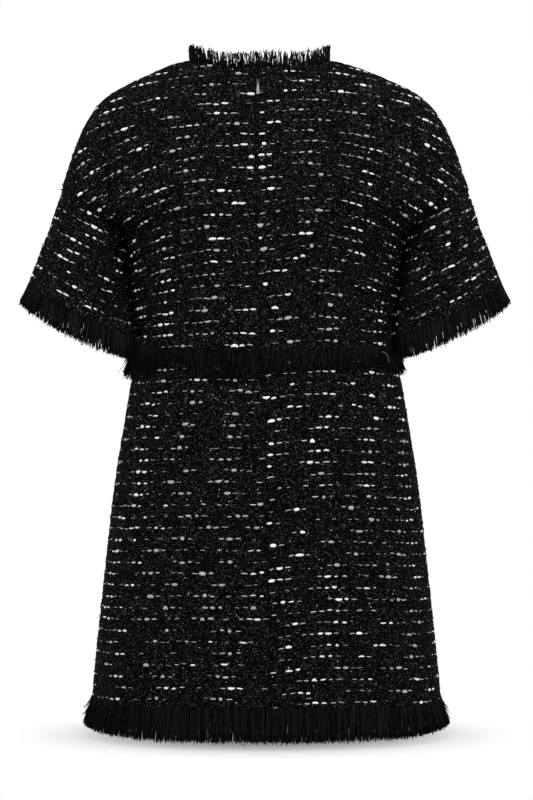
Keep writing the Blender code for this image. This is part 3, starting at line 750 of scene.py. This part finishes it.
def boucleGroup():
    # bouclé: colour, height and roughness from a weave coordinate in metres
    group, entry, leave = newGroup(
        "boucleRows", [("Vector", "NodeSocketVector", None), ("Seed", "NodeSocketFloat", 0.0)],
        [("Color", "NodeSocketColor"), ("Height", "NodeSocketFloat"), ("Roughness", "NodeSocketFloat")])
    shift = addNode(group, "ShaderNodeCombineXYZ", Z=entry.outputs["Seed"])
    inMm = vectorMaths(group, "MULTIPLY", entry.outputs["Vector"], (1000, 1000, 1000))
    place = vectorMaths(group, "ADD", inMm, shift.outputs[0])
    up = addNode(group, "ShaderNodeSeparateXYZ", Vector=place).outputs[1]

    stray = noiseOf(group, place, Scale=0.16, Detail=2.0)
    height = maths(group, "ADD", up, maths(group, "MULTIPLY", stray, tweed["wander"]))
    phase = maths(group, "MULTIPLY", height, 2 * math.pi * tweed["fineRows"] / (slub["rowPitch"] / mm))
    rows = remap(group, maths(group, "COSINE", phase), -1, 1)

    distance, chances = voronoiCells(group, vectorMaths(group, "MULTIPLY", place, tweed["curls"]))
    curl = remap(group, distance, 0.54, 0.2)
    fuzz = noiseOf(group, place, Scale=1.5, Detail=3.0, Roughness=0.65)
    lit = maths(group, "MULTIPLY", curl, maths(group, "POWER", chances[0], 3.2))         # few curls are light
    lit = maths(group, "MULTIPLY", lit, maths(group, "MULTIPLY_ADD", rows, 0.35, 0.75))  # most on the wefts
    lit = maths(group, "MULTIPLY", lit, remap(group, fuzz, 0.3, 0.64, 0.2, 1.3))         # broken by the fuzz
    colour = mixColour(group, lit, tweed["black"], tweed["coal"])
    patch = noiseOf(group, place, Scale=0.06, Detail=5.0, Roughness=0.7)
    hue = mixColour(group, remap(group, patch, 0.4, 0.6), tweed["cool"], tweed["warm"])
    colour = mixColour(group, 1.0, colour, hue, "MULTIPLY")

    # painted glints: spots of lighter colour where fine lurex threads would catch the light
    for paintedGlint in paintedGlints:
        spots = vectorMaths(group, "MULTIPLY", place, (paintedGlint.across, paintedGlint.up, 1))
        distance, chances = voronoiCells(group, vectorMaths(group, "ADD", spots, (paintedGlint.shift,) * 3))
        chosen = remap(group, chances[1], 1 - paintedGlint.share, 1 - paintedGlint.share * 0.9)
        reach = maths(group, "ADD", distance, maths(group, "MULTIPLY_ADD", fuzz, 0.3, -0.15))
        inside = remap(group, reach, paintedGlint.size, paintedGlint.size * 0.5)
        strength = maths(group, "MULTIPLY_ADD", maths(group, "POWER", chances[2], 2.0), 0.85, 0.15)
        share = maths(group, "MULTIPLY", maths(group, "MULTIPLY", chosen, inside), strength)
        colour = mixColour(group, share, colour, paintedGlint.colour)
        curl = maths(group, "MAXIMUM", curl, share)
    relief = maths(group, "MULTIPLY_ADD", rows, 0.35, maths(group, "MULTIPLY", curl, 0.9))
    relief = maths(group, "MULTIPLY_ADD", fuzz, 0.4, relief)
    fillIn(group, leave, Color=colour, Height=relief, Roughness=remap(group, lit, 0, 1, 0.98, 0.8))
    return group


def yarnGroup():
    # twisted fibres: a tone from the piece's own attribute, broken up along the yarn
    group, entry, leave = newGroup(
        "yarnFibres", [("Vector", "NodeSocketVector", None), ("Tone", "NodeSocketFloat", 0.5),
                       ("Scale", "NodeSocketFloat", 900.0)],
        [("Value", "NodeSocketFloat"), ("Height", "NodeSocketFloat")])
    grain = noiseOf(group, entry.outputs["Vector"], Scale=entry.outputs["Scale"], Detail=3.0, Roughness=0.6)
    spread = remap(group, grain, 0.3, 0.7, 0.72, 1.12)
    fillIn(group, leave, Value=maths(group, "MULTIPLY", spread, entry.outputs["Tone"]), Height=grain)
    return group


def newMaterial(name, **values):
    made = bpy.data.materials.new(name)
    made.use_nodes = True
    tree = made.node_tree
    return made, tree, fillIn(tree, tree.nodes["Principled BSDF"], **values)


def bumpFrom(tree, height, strength, distance):
    return addNode(tree, "ShaderNodeBump", Strength=strength, Distance=distance, Height=height).outputs[0]


def tweedMaterial(name, seed):
    made, tree, shader = newMaterial(name, Specular_IOR_Level=0.03)
    where = addNode(tree, "ShaderNodeUVMap", uv_map="weave").outputs[0]
    rows = addNode(tree, "ShaderNodeGroup", node_tree=boucle, Seed=seed, Vector=where).outputs
    fillIn(tree, shader, Base_Color=rows["Color"], Roughness=rows["Roughness"],
           Normal=bumpFrom(tree, rows["Height"], 0.9, 0.9 * mm))
    return made


def yarnMaterial(name, dark, light, roughness, scale, relief, specular):
    made, tree, shader = newMaterial(name, Roughness=roughness, Specular_IOR_Level=specular)
    tone = addNode(tree, "ShaderNodeAttribute", attribute_name="tone").outputs["Fac"]
    yarn = addNode(tree, "ShaderNodeGroup", node_tree=fibres, Scale=scale, Vector=objectPlace(tree),
                   Tone=tone).outputs
    fillIn(tree, shader, Base_Color=mixColour(tree, yarn["Value"], dark, light),
           Normal=bumpFrom(tree, yarn["Height"], relief, 0.4 * mm))
    return made


def metalMaterial(name, colour, roughness):
    made, tree, shader = newMaterial(name, Metallic=1.0)
    drawn = vectorMaths(tree, "MULTIPLY", objectPlace(tree), (1, 1, 0.15))       # the grain runs down
    grain = noiseOf(tree, drawn, Scale=1400.0, Detail=3.0)
    worn = tuple(c * 0.72 for c in colour[:3]) + (1,)
    fillIn(tree, shader, Base_Color=mixColour(tree, remap(tree, grain, 0.35, 0.7), colour, worn),
           Roughness=remap(tree, grain, 0.3, 0.7, roughness * 0.8, roughness * 1.3),
           Normal=bumpFrom(tree, grain, 0.25, 0.05 * mm))
    return made


def tapeMaterial(name, dark, light):
    made, tree, shader = newMaterial(name, Roughness=0.75, Specular_IOR_Level=0.25)
    ribs = addNode(tree, "ShaderNodeTexWave", wave_type="BANDS", bands_direction="Z", Scale=320.0,
                   Distortion=0.6, Vector=objectPlace(tree)).outputs["Fac"]
    fillIn(tree, shader, Base_Color=mixColour(tree, ribs, dark, light),
           Normal=bumpFrom(tree, ribs, 0.6, 0.2 * mm))
    return made


def grey(value, blue=None):
    return (value, value, value if blue is None else blue, 1)


boucle = boucleGroup()
fibres = yarnGroup()
slubYarn = yarnMaterial("slubYarn", grey(0.002), grey(0.84, 0.85), 0.8, 1500, 0.35, 0.2)
slubYarnDim = yarnMaterial("slubYarnDim", grey(0.002), grey(0.24, 0.25), 0.8, 1500, 0.35, 0.1)
fringeYarn = yarnMaterial("fringeYarn", grey(0.0006, 0.0007), grey(0.0150, 0.0163), 0.85, 1200, 0.5, 0.04)
bindingYarn = yarnMaterial("bindingYarn", grey(0.002), grey(0.016, 0.018), 0.8, 2400, 0.4, 0.1)
coilYarn = yarnMaterial("coilYarn", grey(0.004), grey(0.03, 0.032), 0.35, 900, 0.1, 0.5)
zipTape = tapeMaterial("zipTape", grey(0.004, 0.0045), grey(0.012, 0.013))
sliderMetal = metalMaterial("sliderMetal", grey(0.03, 0.032), 0.5)
pullMetal = metalMaterial("pullMetal", grey(0.15, 0.155), 0.45)
print("materials made")

ceilings = {"bodice": 0.0, "skirt": -350 * mm, "sleeve": -158 * mm}     # slubs lie below these


def bodyOutward(point):
    return np.array([point[0], point[1], 0])


def makePanel(name, rows, facing, half, kind, seed):
    points = smoothDown(panelRows(rows, facing, half, columnsFor(rows, facing, half)), *spans[kind])
    tucked = np.ones(len(points))
    if kind == "bodice":
        fitArmhole(points, facing, half)
        tucked[slice(*openingRows)] = cloth["armholeTuck"]
    heights = weftHeight(points, kind, half)
    made, skin, normals = clothShell(name, points, heights, kind, bodyOutward, seed,
                                     seamColumn(points, half), tucked=tucked)
    finishPiece(made, tweedMaterial(name + "Tweed", float(seed * 37)))
    return made, (skin, normals, heights, False, ceilings[kind]), (points, normals)


panelPlan = [
    ("bodice_back_left", plans["bodice"], back, -1, "bodice", 11),
    ("bodice_back_right", plans["bodice"], back, 1, "bodice", 12),
    ("bodice_front", bodiceRows(front), front, 0, "bodice", 13),
    ("skirt_back_left", plans["skirt"], back, -1, "skirt", 14),
    ("skirt_back_right", plans["skirt"], back, 1, "skirt", 15),
    ("skirt_front", plans["skirt"], front, 0, "skirt", 16),
]
shells, skins, grids = {}, {}, {}
for name, rows, facing, half, kind, seed in panelPlan:
    shells[name], skins[name], grids[name] = makePanel(name + "_cloth", rows, facing, half, kind, seed)
    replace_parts(shells[name], name)
print("dress panels made")


def sleevePoint(turn, along, mirror):
    cuff = sleeve["cuff"] + (sleeve["cuffTop"] - sleeve["cuff"]) * math.cos(turn)
    cuff = (cuff + sleeve["cuffBack"] * math.sin(turn)) * np.array([mirror, 1, 1])
    swing = np.array([0, sleeve["cuff"][1] * (along ** sleeve["swing"] - along), 0])
    top = armholePoint(turn, mirror)
    return top + (cuff - top) * along + swing


def sleeveGrid(mirror):
    rings = []
    for ring in range(sleeve["long"] + 1):
        along = ring / sleeve["long"]
        line = []
        for step in range(sleeve["round"]):
            turn = 2 * math.pi * step / sleeve["round"] - math.pi
            place = sleevePoint(turn, along, mirror)
            ahead = unit(sleevePoint(turn, along + 0.1, mirror) - place)
            line.append(place + ahead * sleeve["gap"] * (1 - along))
        rings.append(line)
    return np.array(rings)


def makeSleeve(name, mirror, seed):
    flip = np.array([mirror, 1, 1])
    grid = sleeveGrid(mirror)
    top, end = armhole["centre"] * flip, sleeve["cuff"] * flip
    run = unit(end - top)

    def outward(point):
        return point - top - run * ((point - top) @ run)

    square = np.cross(sleeve["cuffTop"] - sleeve["cuff"], sleeve["cuffBack"])
    square = unit(square) * np.sign(square[2]) * flip
    heights = (grid - end) @ square / sleeve["slant"]
    made, skin, normals = clothShell(name + "_cloth", grid, heights, "sleeve", outward, seed, 0, True)
    finishPiece(made, tweedMaterial(name + "Tweed", float(seed * 37)))
    return made, (skin, normals, heights, True, ceilings["sleeve"]), (grid, normals)


for name, mirror, seed in (("sleeve_left", -1, 17), ("sleeve_right", 1, 18)):
    shells[name], skins[name], grids[name] = makeSleeve(name, mirror, seed)
    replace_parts(shells[name], name)
print("sleeves made")

# Bound seams inside the dress
binding = {"thick": 0.7 * mm, "stand": 0.15 * mm, "armhole": 0.6 * mm, "inside": 4, "tone": 0.8}


def boundSeam(name, points, normals):
    # a strip of bias tape over the seam's allowances, just inside the cloth
    stand = binding["armhole" if "armhole" in name else "stand"]
    inner = points - normals * (cloth["wall"] + stand)
    middle = normals[inner.shape[0] // 2, inner.shape[1] // 2]
    made = meshObject(name, inner, outwardFaces(inner, lambda point: middle),
                      tones=np.full(inner.shape[:2], binding["tone"]))
    addWall(made, binding["thick"])
    finishPiece(made, bindingYarn)


def acrossSeam(first, second, rows):
    # three columns of one panel and three of the next; each panel is (grid, edge column, way in)
    parts = []
    for k in range(2):
        left = [first[0][k][rows, first[1] + first[2] * step] for step in (2, 1, 0)]
        right = [second[0][k][rows, second[1] + second[2] * step] for step in (0, 1, 2)]
        parts.append(np.stack(left + right, 1))
    return parts


def armholeRing(side, column, way):
    # round one armhole: up the front edge and down the back edge, then onto the sleeve
    rows = slice(openingRows[0], openingRows[1] + 1)
    rings = []
    for k in range(2):
        ahead = grids["bodice_front"][k][rows][::-1]
        behind = grids["bodice_back_" + side][k][rows]
        start = column + way * binding["inside"] * k     # the normals are steadier a little way in
        rings.append(np.stack([np.concatenate([ahead[:, start + way * step], behind[:, start + way * step]])
                               for step in (1, 0)], 1))
    grid = grids["sleeve_" + side]
    nearest = np.linalg.norm(grid[0][0][None] - rings[0][:, 1][:, None], axis=2).argmin(axis=1)
    return [np.concatenate([rings[k], grid[k][1:3, nearest].transpose(1, 0, 2)], 1) for k in range(2)]


zipRows = 7                      # skirt rows that the zip runs down past
zipSteps = sum(spans["skirt"][1][:zipRows])
seams = {
    "seam_centre_skirt": acrossSeam((grids["skirt_back_left"], -1, -1), (grids["skirt_back_right"], 0, 1),
                                    slice(zipSteps, None)),
}
for side, column, way in (("left", 0, 1), ("right", -1, -1)):
    for seam, part, rows in (("seam_shoulder_", "bodice", slice(0, openingRows[0] + 1)),
                             ("seam_flank_", "bodice", slice(openingRows[1], None)),
                             ("seam_skirt_", "skirt", slice(0, None))):
        seams[seam + side] = acrossSeam((grids[part + "_back_" + side], column, way),
                                        (grids[part + "_front"], column, way), rows)
    seams["seam_armhole_" + side] = armholeRing(side, column, way)
for name, (points, normals) in seams.items():
    boundSeam(name, points, normals)
print("seams bound")

slubPlan = [("slubs_back", ("bodice_back_left", "bodice_back_right"), 31),
            ("slubs_front", ("bodice_front",), 32),
            ("slubs_sleeves", ("sleeve_left", "sleeve_right"), 33),
            ("slubs_skirt_back", ("skirt_back_left", "skirt_back_right"), 34),
            ("slubs_skirt_front", ("skirt_front",), 35)]
for name, places, seed in slubPlan:
    finishPiece(slubPiece(name, [skins[place] for place in places], seed), slubYarn)
print("slubs made")


# Fringes on the edges: how long the ends are and how far they stand out, by their roots' place
def neckLong(root):
    return 17 * mm * (1 + 0.06 * np.sin(root[:, 0] / (14 * mm) + 1))


def neckFlare(root):
    return 0.6 * mm


# how long the waist's ends are trimmed: place across and length, in millimetres
waistTrim = [(-165, 36), (-138, 36), (-124, 16), (-92, 17), (-80, 28), (-45, 30), (-20, 33), (-6, 30),
             (4, 24), (30, 22), (45, 18), (75, 17), (90, 21), (120, 19), (138, 21), (152, 31), (165, 32)]


def waistLong(root):
    across, long = np.array(waistTrim).T
    return np.interp(root[:, 0] / mm, across, long) * mm


def waistFlare(root):
    # the sleeves press the back's ends in at the sides
    pressed = (np.abs(root[:, 0]) > 100 * mm) & (root[:, 1] > -75 * mm) & (root[:, 1] < -2 * mm)
    wider = np.where(root[:, 0] > 0, 3.0, 7.0)
    spread = (5.0 + wider * (np.abs(root[:, 0]) / (162 * mm)) ** 8) * mm
    return np.where(pressed, 4.2 * mm, spread)


def hemLong(root):
    shorter = 6.5 * (np.abs(root[:, 0]) / (212 * mm)) ** 8          # the ends at the sides hang shorter
    return (36.5 * (1 + 0.012 * np.sin(root[:, 0] / (23 * mm))) - shorter) * mm


def hemFlare(root):
    return (4.5 + 6.0 * (np.abs(root[:, 0]) / (212 * mm)) ** 6) * mm


def cuffLong(root):
    reach = np.abs(root[:, 1] - sleeve["cuff"][1]) / abs(sleeve["cuffBack"][1])
    return 24 * mm * (1 + 0.3 * np.minimum(1, reach))


def cuffFlare(root):
    return (-6.0 + 8.0 * (np.abs(root[:, 0]) - 158 * mm) / (130 * mm)) * mm


# flare: how far the tips stand out; under: share of short ends; late: power of the gathering;
# lift: unevenness of the flare; start: depth of the roots; ends: where bunches ease off at the back seam
neckFringe = {"count": 1300, "long": neckLong, "flare": neckFlare, "ragged": 0.08, "under": 0.35,
              "bunch": 5.0 * mm, "gather": 0.85, "late": 2.0, "lean": 0.10, "strays": 0.03, "curl": 0.15,
              "lift": 0.05, "thick": 1.9 * mm, "start": 1.5 * mm, "radius": 0.6 * mm, "ends": 7 * mm}
waistFringe = {"count": 3600, "long": waistLong, "flare": waistFlare, "ragged": 0.11, "under": 0.2,
               "bunch": 4.0 * mm, "gather": 0.3, "late": 1.8, "lean": 0.19, "strays": 0.04, "curl": 0.16,
               "lift": 0.045, "thick": 2.2 * mm, "start": 3.0 * mm, "radius": 0.5 * mm, "ends": 7 * mm}
hemFringe = {"count": 5800, "long": hemLong, "flare": hemFlare, "ragged": 0.045, "under": 0.05,
             "bunch": 3.4 * mm, "gather": 0.24, "late": 8.0, "lean": 0.022, "strays": 0.003, "curl": 0.035,
             "lift": 0.03, "thick": 2.2 * mm, "start": 3.4 * mm, "radius": 0.58 * mm}
cuffFringe = {"count": 1750, "long": cuffLong, "flare": cuffFlare, "ragged": 0.05, "under": 0.06,
              "bunch": 3.4 * mm, "gather": 0.55, "late": 4.0, "lean": 0.025, "strays": 0.005, "curl": 0.035,
              "lift": 0.03, "thick": 2.2 * mm, "start": 3.4 * mm, "radius": 0.54 * mm}


def addFringe(node, line, outs, hangs, spec, seed):
    made = fringePiece(node + "_yarn", line, outs, hangs, spec, seed)
    finishPiece(made, fringeYarn)
    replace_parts(made, node)


for node, row, way, spec, seed in (("neck_fringe", shoulderRows[0], 1, neckFringe, 41),
                                   ("waist_fringe", flankRows[-1], -1, waistFringe, 42),
                                   ("hem_fringe", skirtRows[-1], -1, hemFringe, 43)):
    loop = bodyLoop(row, cloth["wall"] / 2)
    hangs = np.tile(np.array([0.0, 0.0, way]), (len(loop), 1))
    addFringe(node, loop, edgeFrames(loop), hangs, spec, seed)
for node, mirror, seed in (("cuff_fringe_left", -1, 44), ("cuff_fringe_right", 1, 45)):
    turns = np.linspace(0, 2 * math.pi, 421)
    turns = np.where(turns > math.pi, turns - 2 * math.pi, turns)
    edge, before = (np.array([sleevePoint(turn, along, mirror) for turn in turns]) for along in (1.0, 0.9))
    hangs = unit(edge - before)
    runs = np.roll(edge[:-1], -1, 0) - np.roll(edge[:-1], 1, 0)
    outs = unit(np.cross(np.concatenate([runs, runs[:1]]), hangs))
    middle = sleeve["cuff"] * np.array([mirror, 1, 1])
    outs = outs * np.sign(np.sum(outs * (edge - middle), axis=1))[:, None]
    addFringe(node, edge - outs * cloth["wall"] / 2, outs, hangs, cuffFringe, seed)

# Loose threads through marked places in millimetres
loose = {"thin": 0.28 * mm, "heavy": 0.5 * mm, "tone": 0.8}
looseThreads = [
    ("thread_hem_upper", "thin", fringeYarn, [(-212, -5, -785), (-218, -6, -787), (-223, -7, -791)]),
    ("thread_hem_lower", "heavy", fringeYarn, [(-212, -8, -790), (-218, -9, -795), (-224, -10, -800)]),
    ("thread_waist", "thin", slubYarnDim,
     [(140, -61, -357), (145, -62, -358), (148, -60, -363), (149, -58, -369)]),
    ("thread_neck", "thin", fringeYarn,
     [(-19, -59, -9), (-17, -60, -2), (-10, -61, 3), (-3, -60, -2), (-1, -59, -9)]),
]


def looseThread(name, thick, material, marks):
    curve = bpy.data.curves.new(name, "CURVE")
    curve.dimensions = "3D"
    curve.bevel_depth = loose[thick]
    curve.bevel_resolution = 1
    curve.use_fill_caps = True
    spline = curve.splines.new("NURBS")
    spline.points.add(len(marks) - 1)
    for point, mark in zip(spline.points, marks):
        point.co = (mark[0] * mm, mark[1] * mm, mark[2] * mm, 1)
    spline.use_endpoint_u = True
    spline.order_u = 3
    spline.resolution_u = 6
    made = bpy.data.objects.new(name, curve)
    bpy.context.scene.collection.objects.link(made)
    selectOnly(made)
    bpy.ops.object.convert(target="MESH")
    setTones(made.data, np.full(len(made.data.vertices), loose["tone"]))
    finishPiece(made, material)


for entry in looseThreads:
    looseThread(*entry)
print("fringes made")

# The zip behind the back seam
zipSizes = {
    "wide": 11 * mm, "thick": 0.9 * mm, "depth": 0.7 * mm,
    "columns": (0, 0.06, 0.2, 0.45, 0.7, 1.0),      # across a tape, as shares of its width
    "edge": 0.5 * mm,            # from the seam to a tape's inner edge
    "ridge": 0.1 * mm,           # the woven-in ridge along a tape
    "sliderZ": -35 * mm,
    "shut": 0.12 * mm, "post": 0.9 * mm,            # half the parting below and above the slider
    "pitch": 1.5 * mm, "loop": 1.15 * mm, "wire": 0.3 * mm, "squash": 0.55,
    "coilDepth": 0.8 * mm, "coilTop": 2 * mm, "coilFoot": 6 * mm, "coilTone": 0.7,
}


def zipParting(z):
    # half the parting: shut below the slider, open above it
    above = ramp(z, zipSizes["sliderZ"] - 2 * mm, zipSizes["sliderZ"] + 3 * mm)
    return zipSizes["shut"] + (zipSizes["post"] - zipSizes["shut"]) * above


def zipLines(offset, deep):
    # points behind the back seam: offset across it, deep inside the cloth's outer face
    rows = plans["bodice"][1:-2] + plans["skirt"][:zipRows]
    line = np.array([rowPoints(row, np.array([angleAt(row, row.seam + x / mm) for x in offset]), end, back)
                     for row, end in rows])
    gaps = np.linalg.norm(np.diff(line[:, 0], axis=0), axis=1)
    fine = smoothDown(line, gaps, np.maximum(1, np.round(gaps / (3 * mm))).astype(int))
    rise = np.gradient(fine[:, 0], axis=0)
    out = unit(np.stack([np.zeros(len(fine)), rise[:, 2], -rise[:, 1]], 1))
    out = out * np.where(out[:, 1:2] > 0, -1, 1)
    return fine - out[:, None] * deep, out


def makeTape(name, side):
    # woven tape whose inner edge folds back at the seam
    across = side * (zipSizes["edge"] + np.array(zipSizes["columns"]) * zipSizes["wide"])
    points, out = zipLines(across, cloth["wall"] + zipSizes["depth"])
    points[:, 2] -= out * zipSizes["ridge"]
    for column in (0, 1):
        points[:, column, 0] += side * (zipParting(points[:, column, 2]) - zipSizes["edge"])
    faces = gridFaces(points)
    if side > 0:
        faces = [face[::-1] for face in faces]
    made = meshObject(name, points, faces)
    addWall(made, zipSizes["thick"])
    finishPiece(made, zipTape)
    return made


def makeCoil(name, side):
    # one turn of the coil is modelled, then repeated down the tape
    bpy.ops.object.select_all(action="DESELECT")
    bpy.ops.mesh.primitive_torus_add(major_radius=zipSizes["loop"], minor_radius=zipSizes["wire"],
                                     major_segments=8, minor_segments=4)
    turn = bpy.context.object
    shape = np.array([vertex.co[:] for vertex in turn.data.vertices]) * np.array([1, zipSizes["squash"], 1])
    pattern = [tuple(face.vertices) for face in turn.data.polygons]
    bpy.data.objects.remove(turn, do_unlink=True)
    deep = cloth["wall"] + zipSizes["depth"] + zipSizes["thick"] + zipSizes["coilDepth"]
    line = zipLines(np.array([0.0]), deep)[0][:, 0]
    places = np.arange(zipSizes["coilTop"], lengthsAlong(line)[-1] - zipSizes["coilFoot"], zipSizes["pitch"])
    spots = placesAlong(line, places + (0.5 * zipSizes["pitch"] if side > 0 else 0))
    spread = zipSizes["loop"] * zipSizes["squash"] + zipParting(spots[:, 2]) - zipSizes["shut"]
    spots[:, 0] += side * spread
    points = spots[:, None] + shape[None]
    made = meshObject(name, points, repeatFaces(pattern, len(spots), len(shape)),
                      tones=np.full(points.shape[:2], zipSizes["coilTone"]))
    finishPiece(made, coilYarn)


for side, way in (("left", -1), ("right", 1)):
    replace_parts(makeTape("tape_" + side + "_woven", way), "zip_tape_" + side)
    makeCoil("zip_coil_" + side, way)
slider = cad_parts["zip_slider"]
slider.data.materials.clear()
slider.data.materials.append(sliderMetal)

# The pull tab hangs on the slider's bar: a tapering plate with a ring at its top
pull = {
    "pivot": (-8.47 * mm, -72.8 * mm, -35.54 * mm), "lean": math.radians(-19.29),
    "top": 1.15 * mm, "foot": 15.5 * mm, "thick": 1.0 * mm, "neck": 1.9 * mm, "wide": 4.6 * mm,
    "round": 0.32 * mm, "ring": 1.06 * mm, "wire": 0.3 * mm, "ringWide": 1.8,
}


def makePull():
    bpy.ops.object.select_all(action="DESELECT")
    bpy.ops.mesh.primitive_cube_add(size=1, location=(0, 0, -(pull["top"] + pull["foot"]) / 2))
    plate = bpy.context.object
    plate.name = "pull_tab_drop"
    plate.scale = (pull["wide"], pull["thick"], pull["foot"] - pull["top"])
    bpy.ops.object.transform_apply(location=True, rotation=False, scale=True)
    for vertex in plate.data.vertices:
        if vertex.co.z > -pull["foot"] / 2:
            vertex.co.x *= pull["neck"] / pull["wide"]
    rounding = plate.modifiers.new("rounding", "BEVEL")
    rounding.width = pull["round"]
    rounding.segments = 3
    bpy.ops.object.modifier_apply(modifier="rounding")
    bpy.ops.mesh.primitive_torus_add(major_radius=pull["ring"], minor_radius=pull["wire"], major_segments=24,
                                     minor_segments=8, rotation=(0, math.pi / 2, 0))
    ring = bpy.context.object
    ring.scale = (1, 1, pull["ringWide"])
    bpy.ops.object.transform_apply(location=False, rotation=True, scale=True)
    plate.select_set(True)
    bpy.context.view_layer.objects.active = plate
    bpy.ops.object.join()
    plate.rotation_euler = (pull["lean"], 0, 0)
    plate.location = pull["pivot"]
    bpy.ops.object.transform_apply(location=True, rotation=True, scale=True)
    bpy.ops.object.shade_smooth_by_angle(angle=math.radians(40))
    finishPiece(plate, pullMetal, tabBody)
    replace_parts(plate, "zip_pull_tab")


makePull()
print("zip finished")

# The floor glows white away from the dress, painted light that fades its shadow: wide, deep, near and far say
# where its shadow shows, and glow is painted light that lifts that shadow under the dress
stage = {
    "floorZ": -0.8255, "size": 9.0, "wide": 0.215, "deep": 0.135, "near": 0.5, "far": 1.5,
    "paper": 0.24, "glow": 0.27, "world": 0.55, "lightSize": 1.6,
    "camera": (0.0018, -2.7, -0.415),
    "sensor": 24,
    "frameHigh": 0.98264,        # height of the frame where the dress stands
}
# area lights: place, aim and power
lights = {
    "overhead": ((0, -1.3, 1.5), (0, 0, -0.5), 38.0),
    "keyLeft": ((-1.8, -2.2, 0.9), (0, 0, -0.4), 17.0),
    "fillRight": ((1.9, -2.0, 0.3), (0, 0, -0.4), 21.0),
}


def makeFloor():
    bpy.ops.mesh.primitive_plane_add(size=stage["size"], location=(0, 0, 0))
    floor = bpy.context.object
    floor.name = "floor"
    floor.location = (0, 0, stage["floorZ"])
    # the paper's own glow is painted light that lifts the shadow under the dress
    made, tree, shader = newMaterial("floorPaper", Base_Color=grey(stage["paper"]), Roughness=0.95,
                                     Specular_IOR_Level=0.0, Emission_Color=(1, 1, 1, 1),
                                     Emission_Strength=stage["glow"])
    around = vectorMaths(tree, "MULTIPLY", objectPlace(tree), (1 / stage["wide"], 1 / stage["deep"], 1))
    reach = addNode(tree, "ShaderNodeVectorMath", operation="LENGTH", Vector=around).outputs["Value"]
    glow = addNode(tree, "ShaderNodeEmission", Strength=1.0)
    blend = addNode(tree, "ShaderNodeMixShader")
    # by distance from the dress the floor turns to emitted white, painted light that fades the dress's shadow
    parts = (remap(tree, reach, stage["near"], stage["far"]), shader.outputs[0], glow.outputs[0])
    for socket, part in zip(blend.inputs, parts):
        tree.links.new(part, socket)
    tree.links.new(blend.outputs[0], tree.nodes["Material Output"].inputs[0])
    floor.data.materials.append(made)


def makeWorld():
    # white for the eye, gentler for the cloth
    world = bpy.data.worlds.new("paleRoom")
    bpy.context.scene.world = world
    world.use_nodes = True
    tree = world.node_tree
    path = addNode(tree, "ShaderNodeLightPath").outputs["Is Camera Ray"]
    share = maths(tree, "MULTIPLY_ADD", path, 1 - stage["world"], stage["world"])
    fillIn(tree, tree.nodes["Background"], Color=(1, 1, 1, 1), Strength=share)


def areaLight(name, place, aim, energy):
    bpy.ops.object.light_add(type="AREA", location=place)
    light = bpy.context.object
    light.name = name
    light.data.size = stage["lightSize"]
    light.data.energy = energy
    away = np.array(place) - np.array(aim)
    flat = math.hypot(away[0], away[1])
    light.rotation_euler = (math.atan2(flat, away[2]), 0, math.atan2(away[0], -away[1]))


def makeCamera():
    data = bpy.data.cameras.new("camera")
    data.sensor_fit = "VERTICAL"
    data.sensor_height = stage["sensor"]
    data.lens = stage["sensor"] * -stage["camera"][1] / stage["frameHigh"]
    camera = bpy.data.objects.new("camera", data)
    bpy.context.scene.collection.objects.link(camera)
    camera.location = stage["camera"]
    camera.rotation_euler = (math.pi / 2, 0, 0)
    bpy.context.scene.camera = camera


makeFloor()
makeWorld()
for name, (place, aim, energy) in lights.items():
    areaLight(name, place, aim, energy)
makeCamera()
bpy.context.scene.view_settings.view_transform = "Standard"
print("stage set")
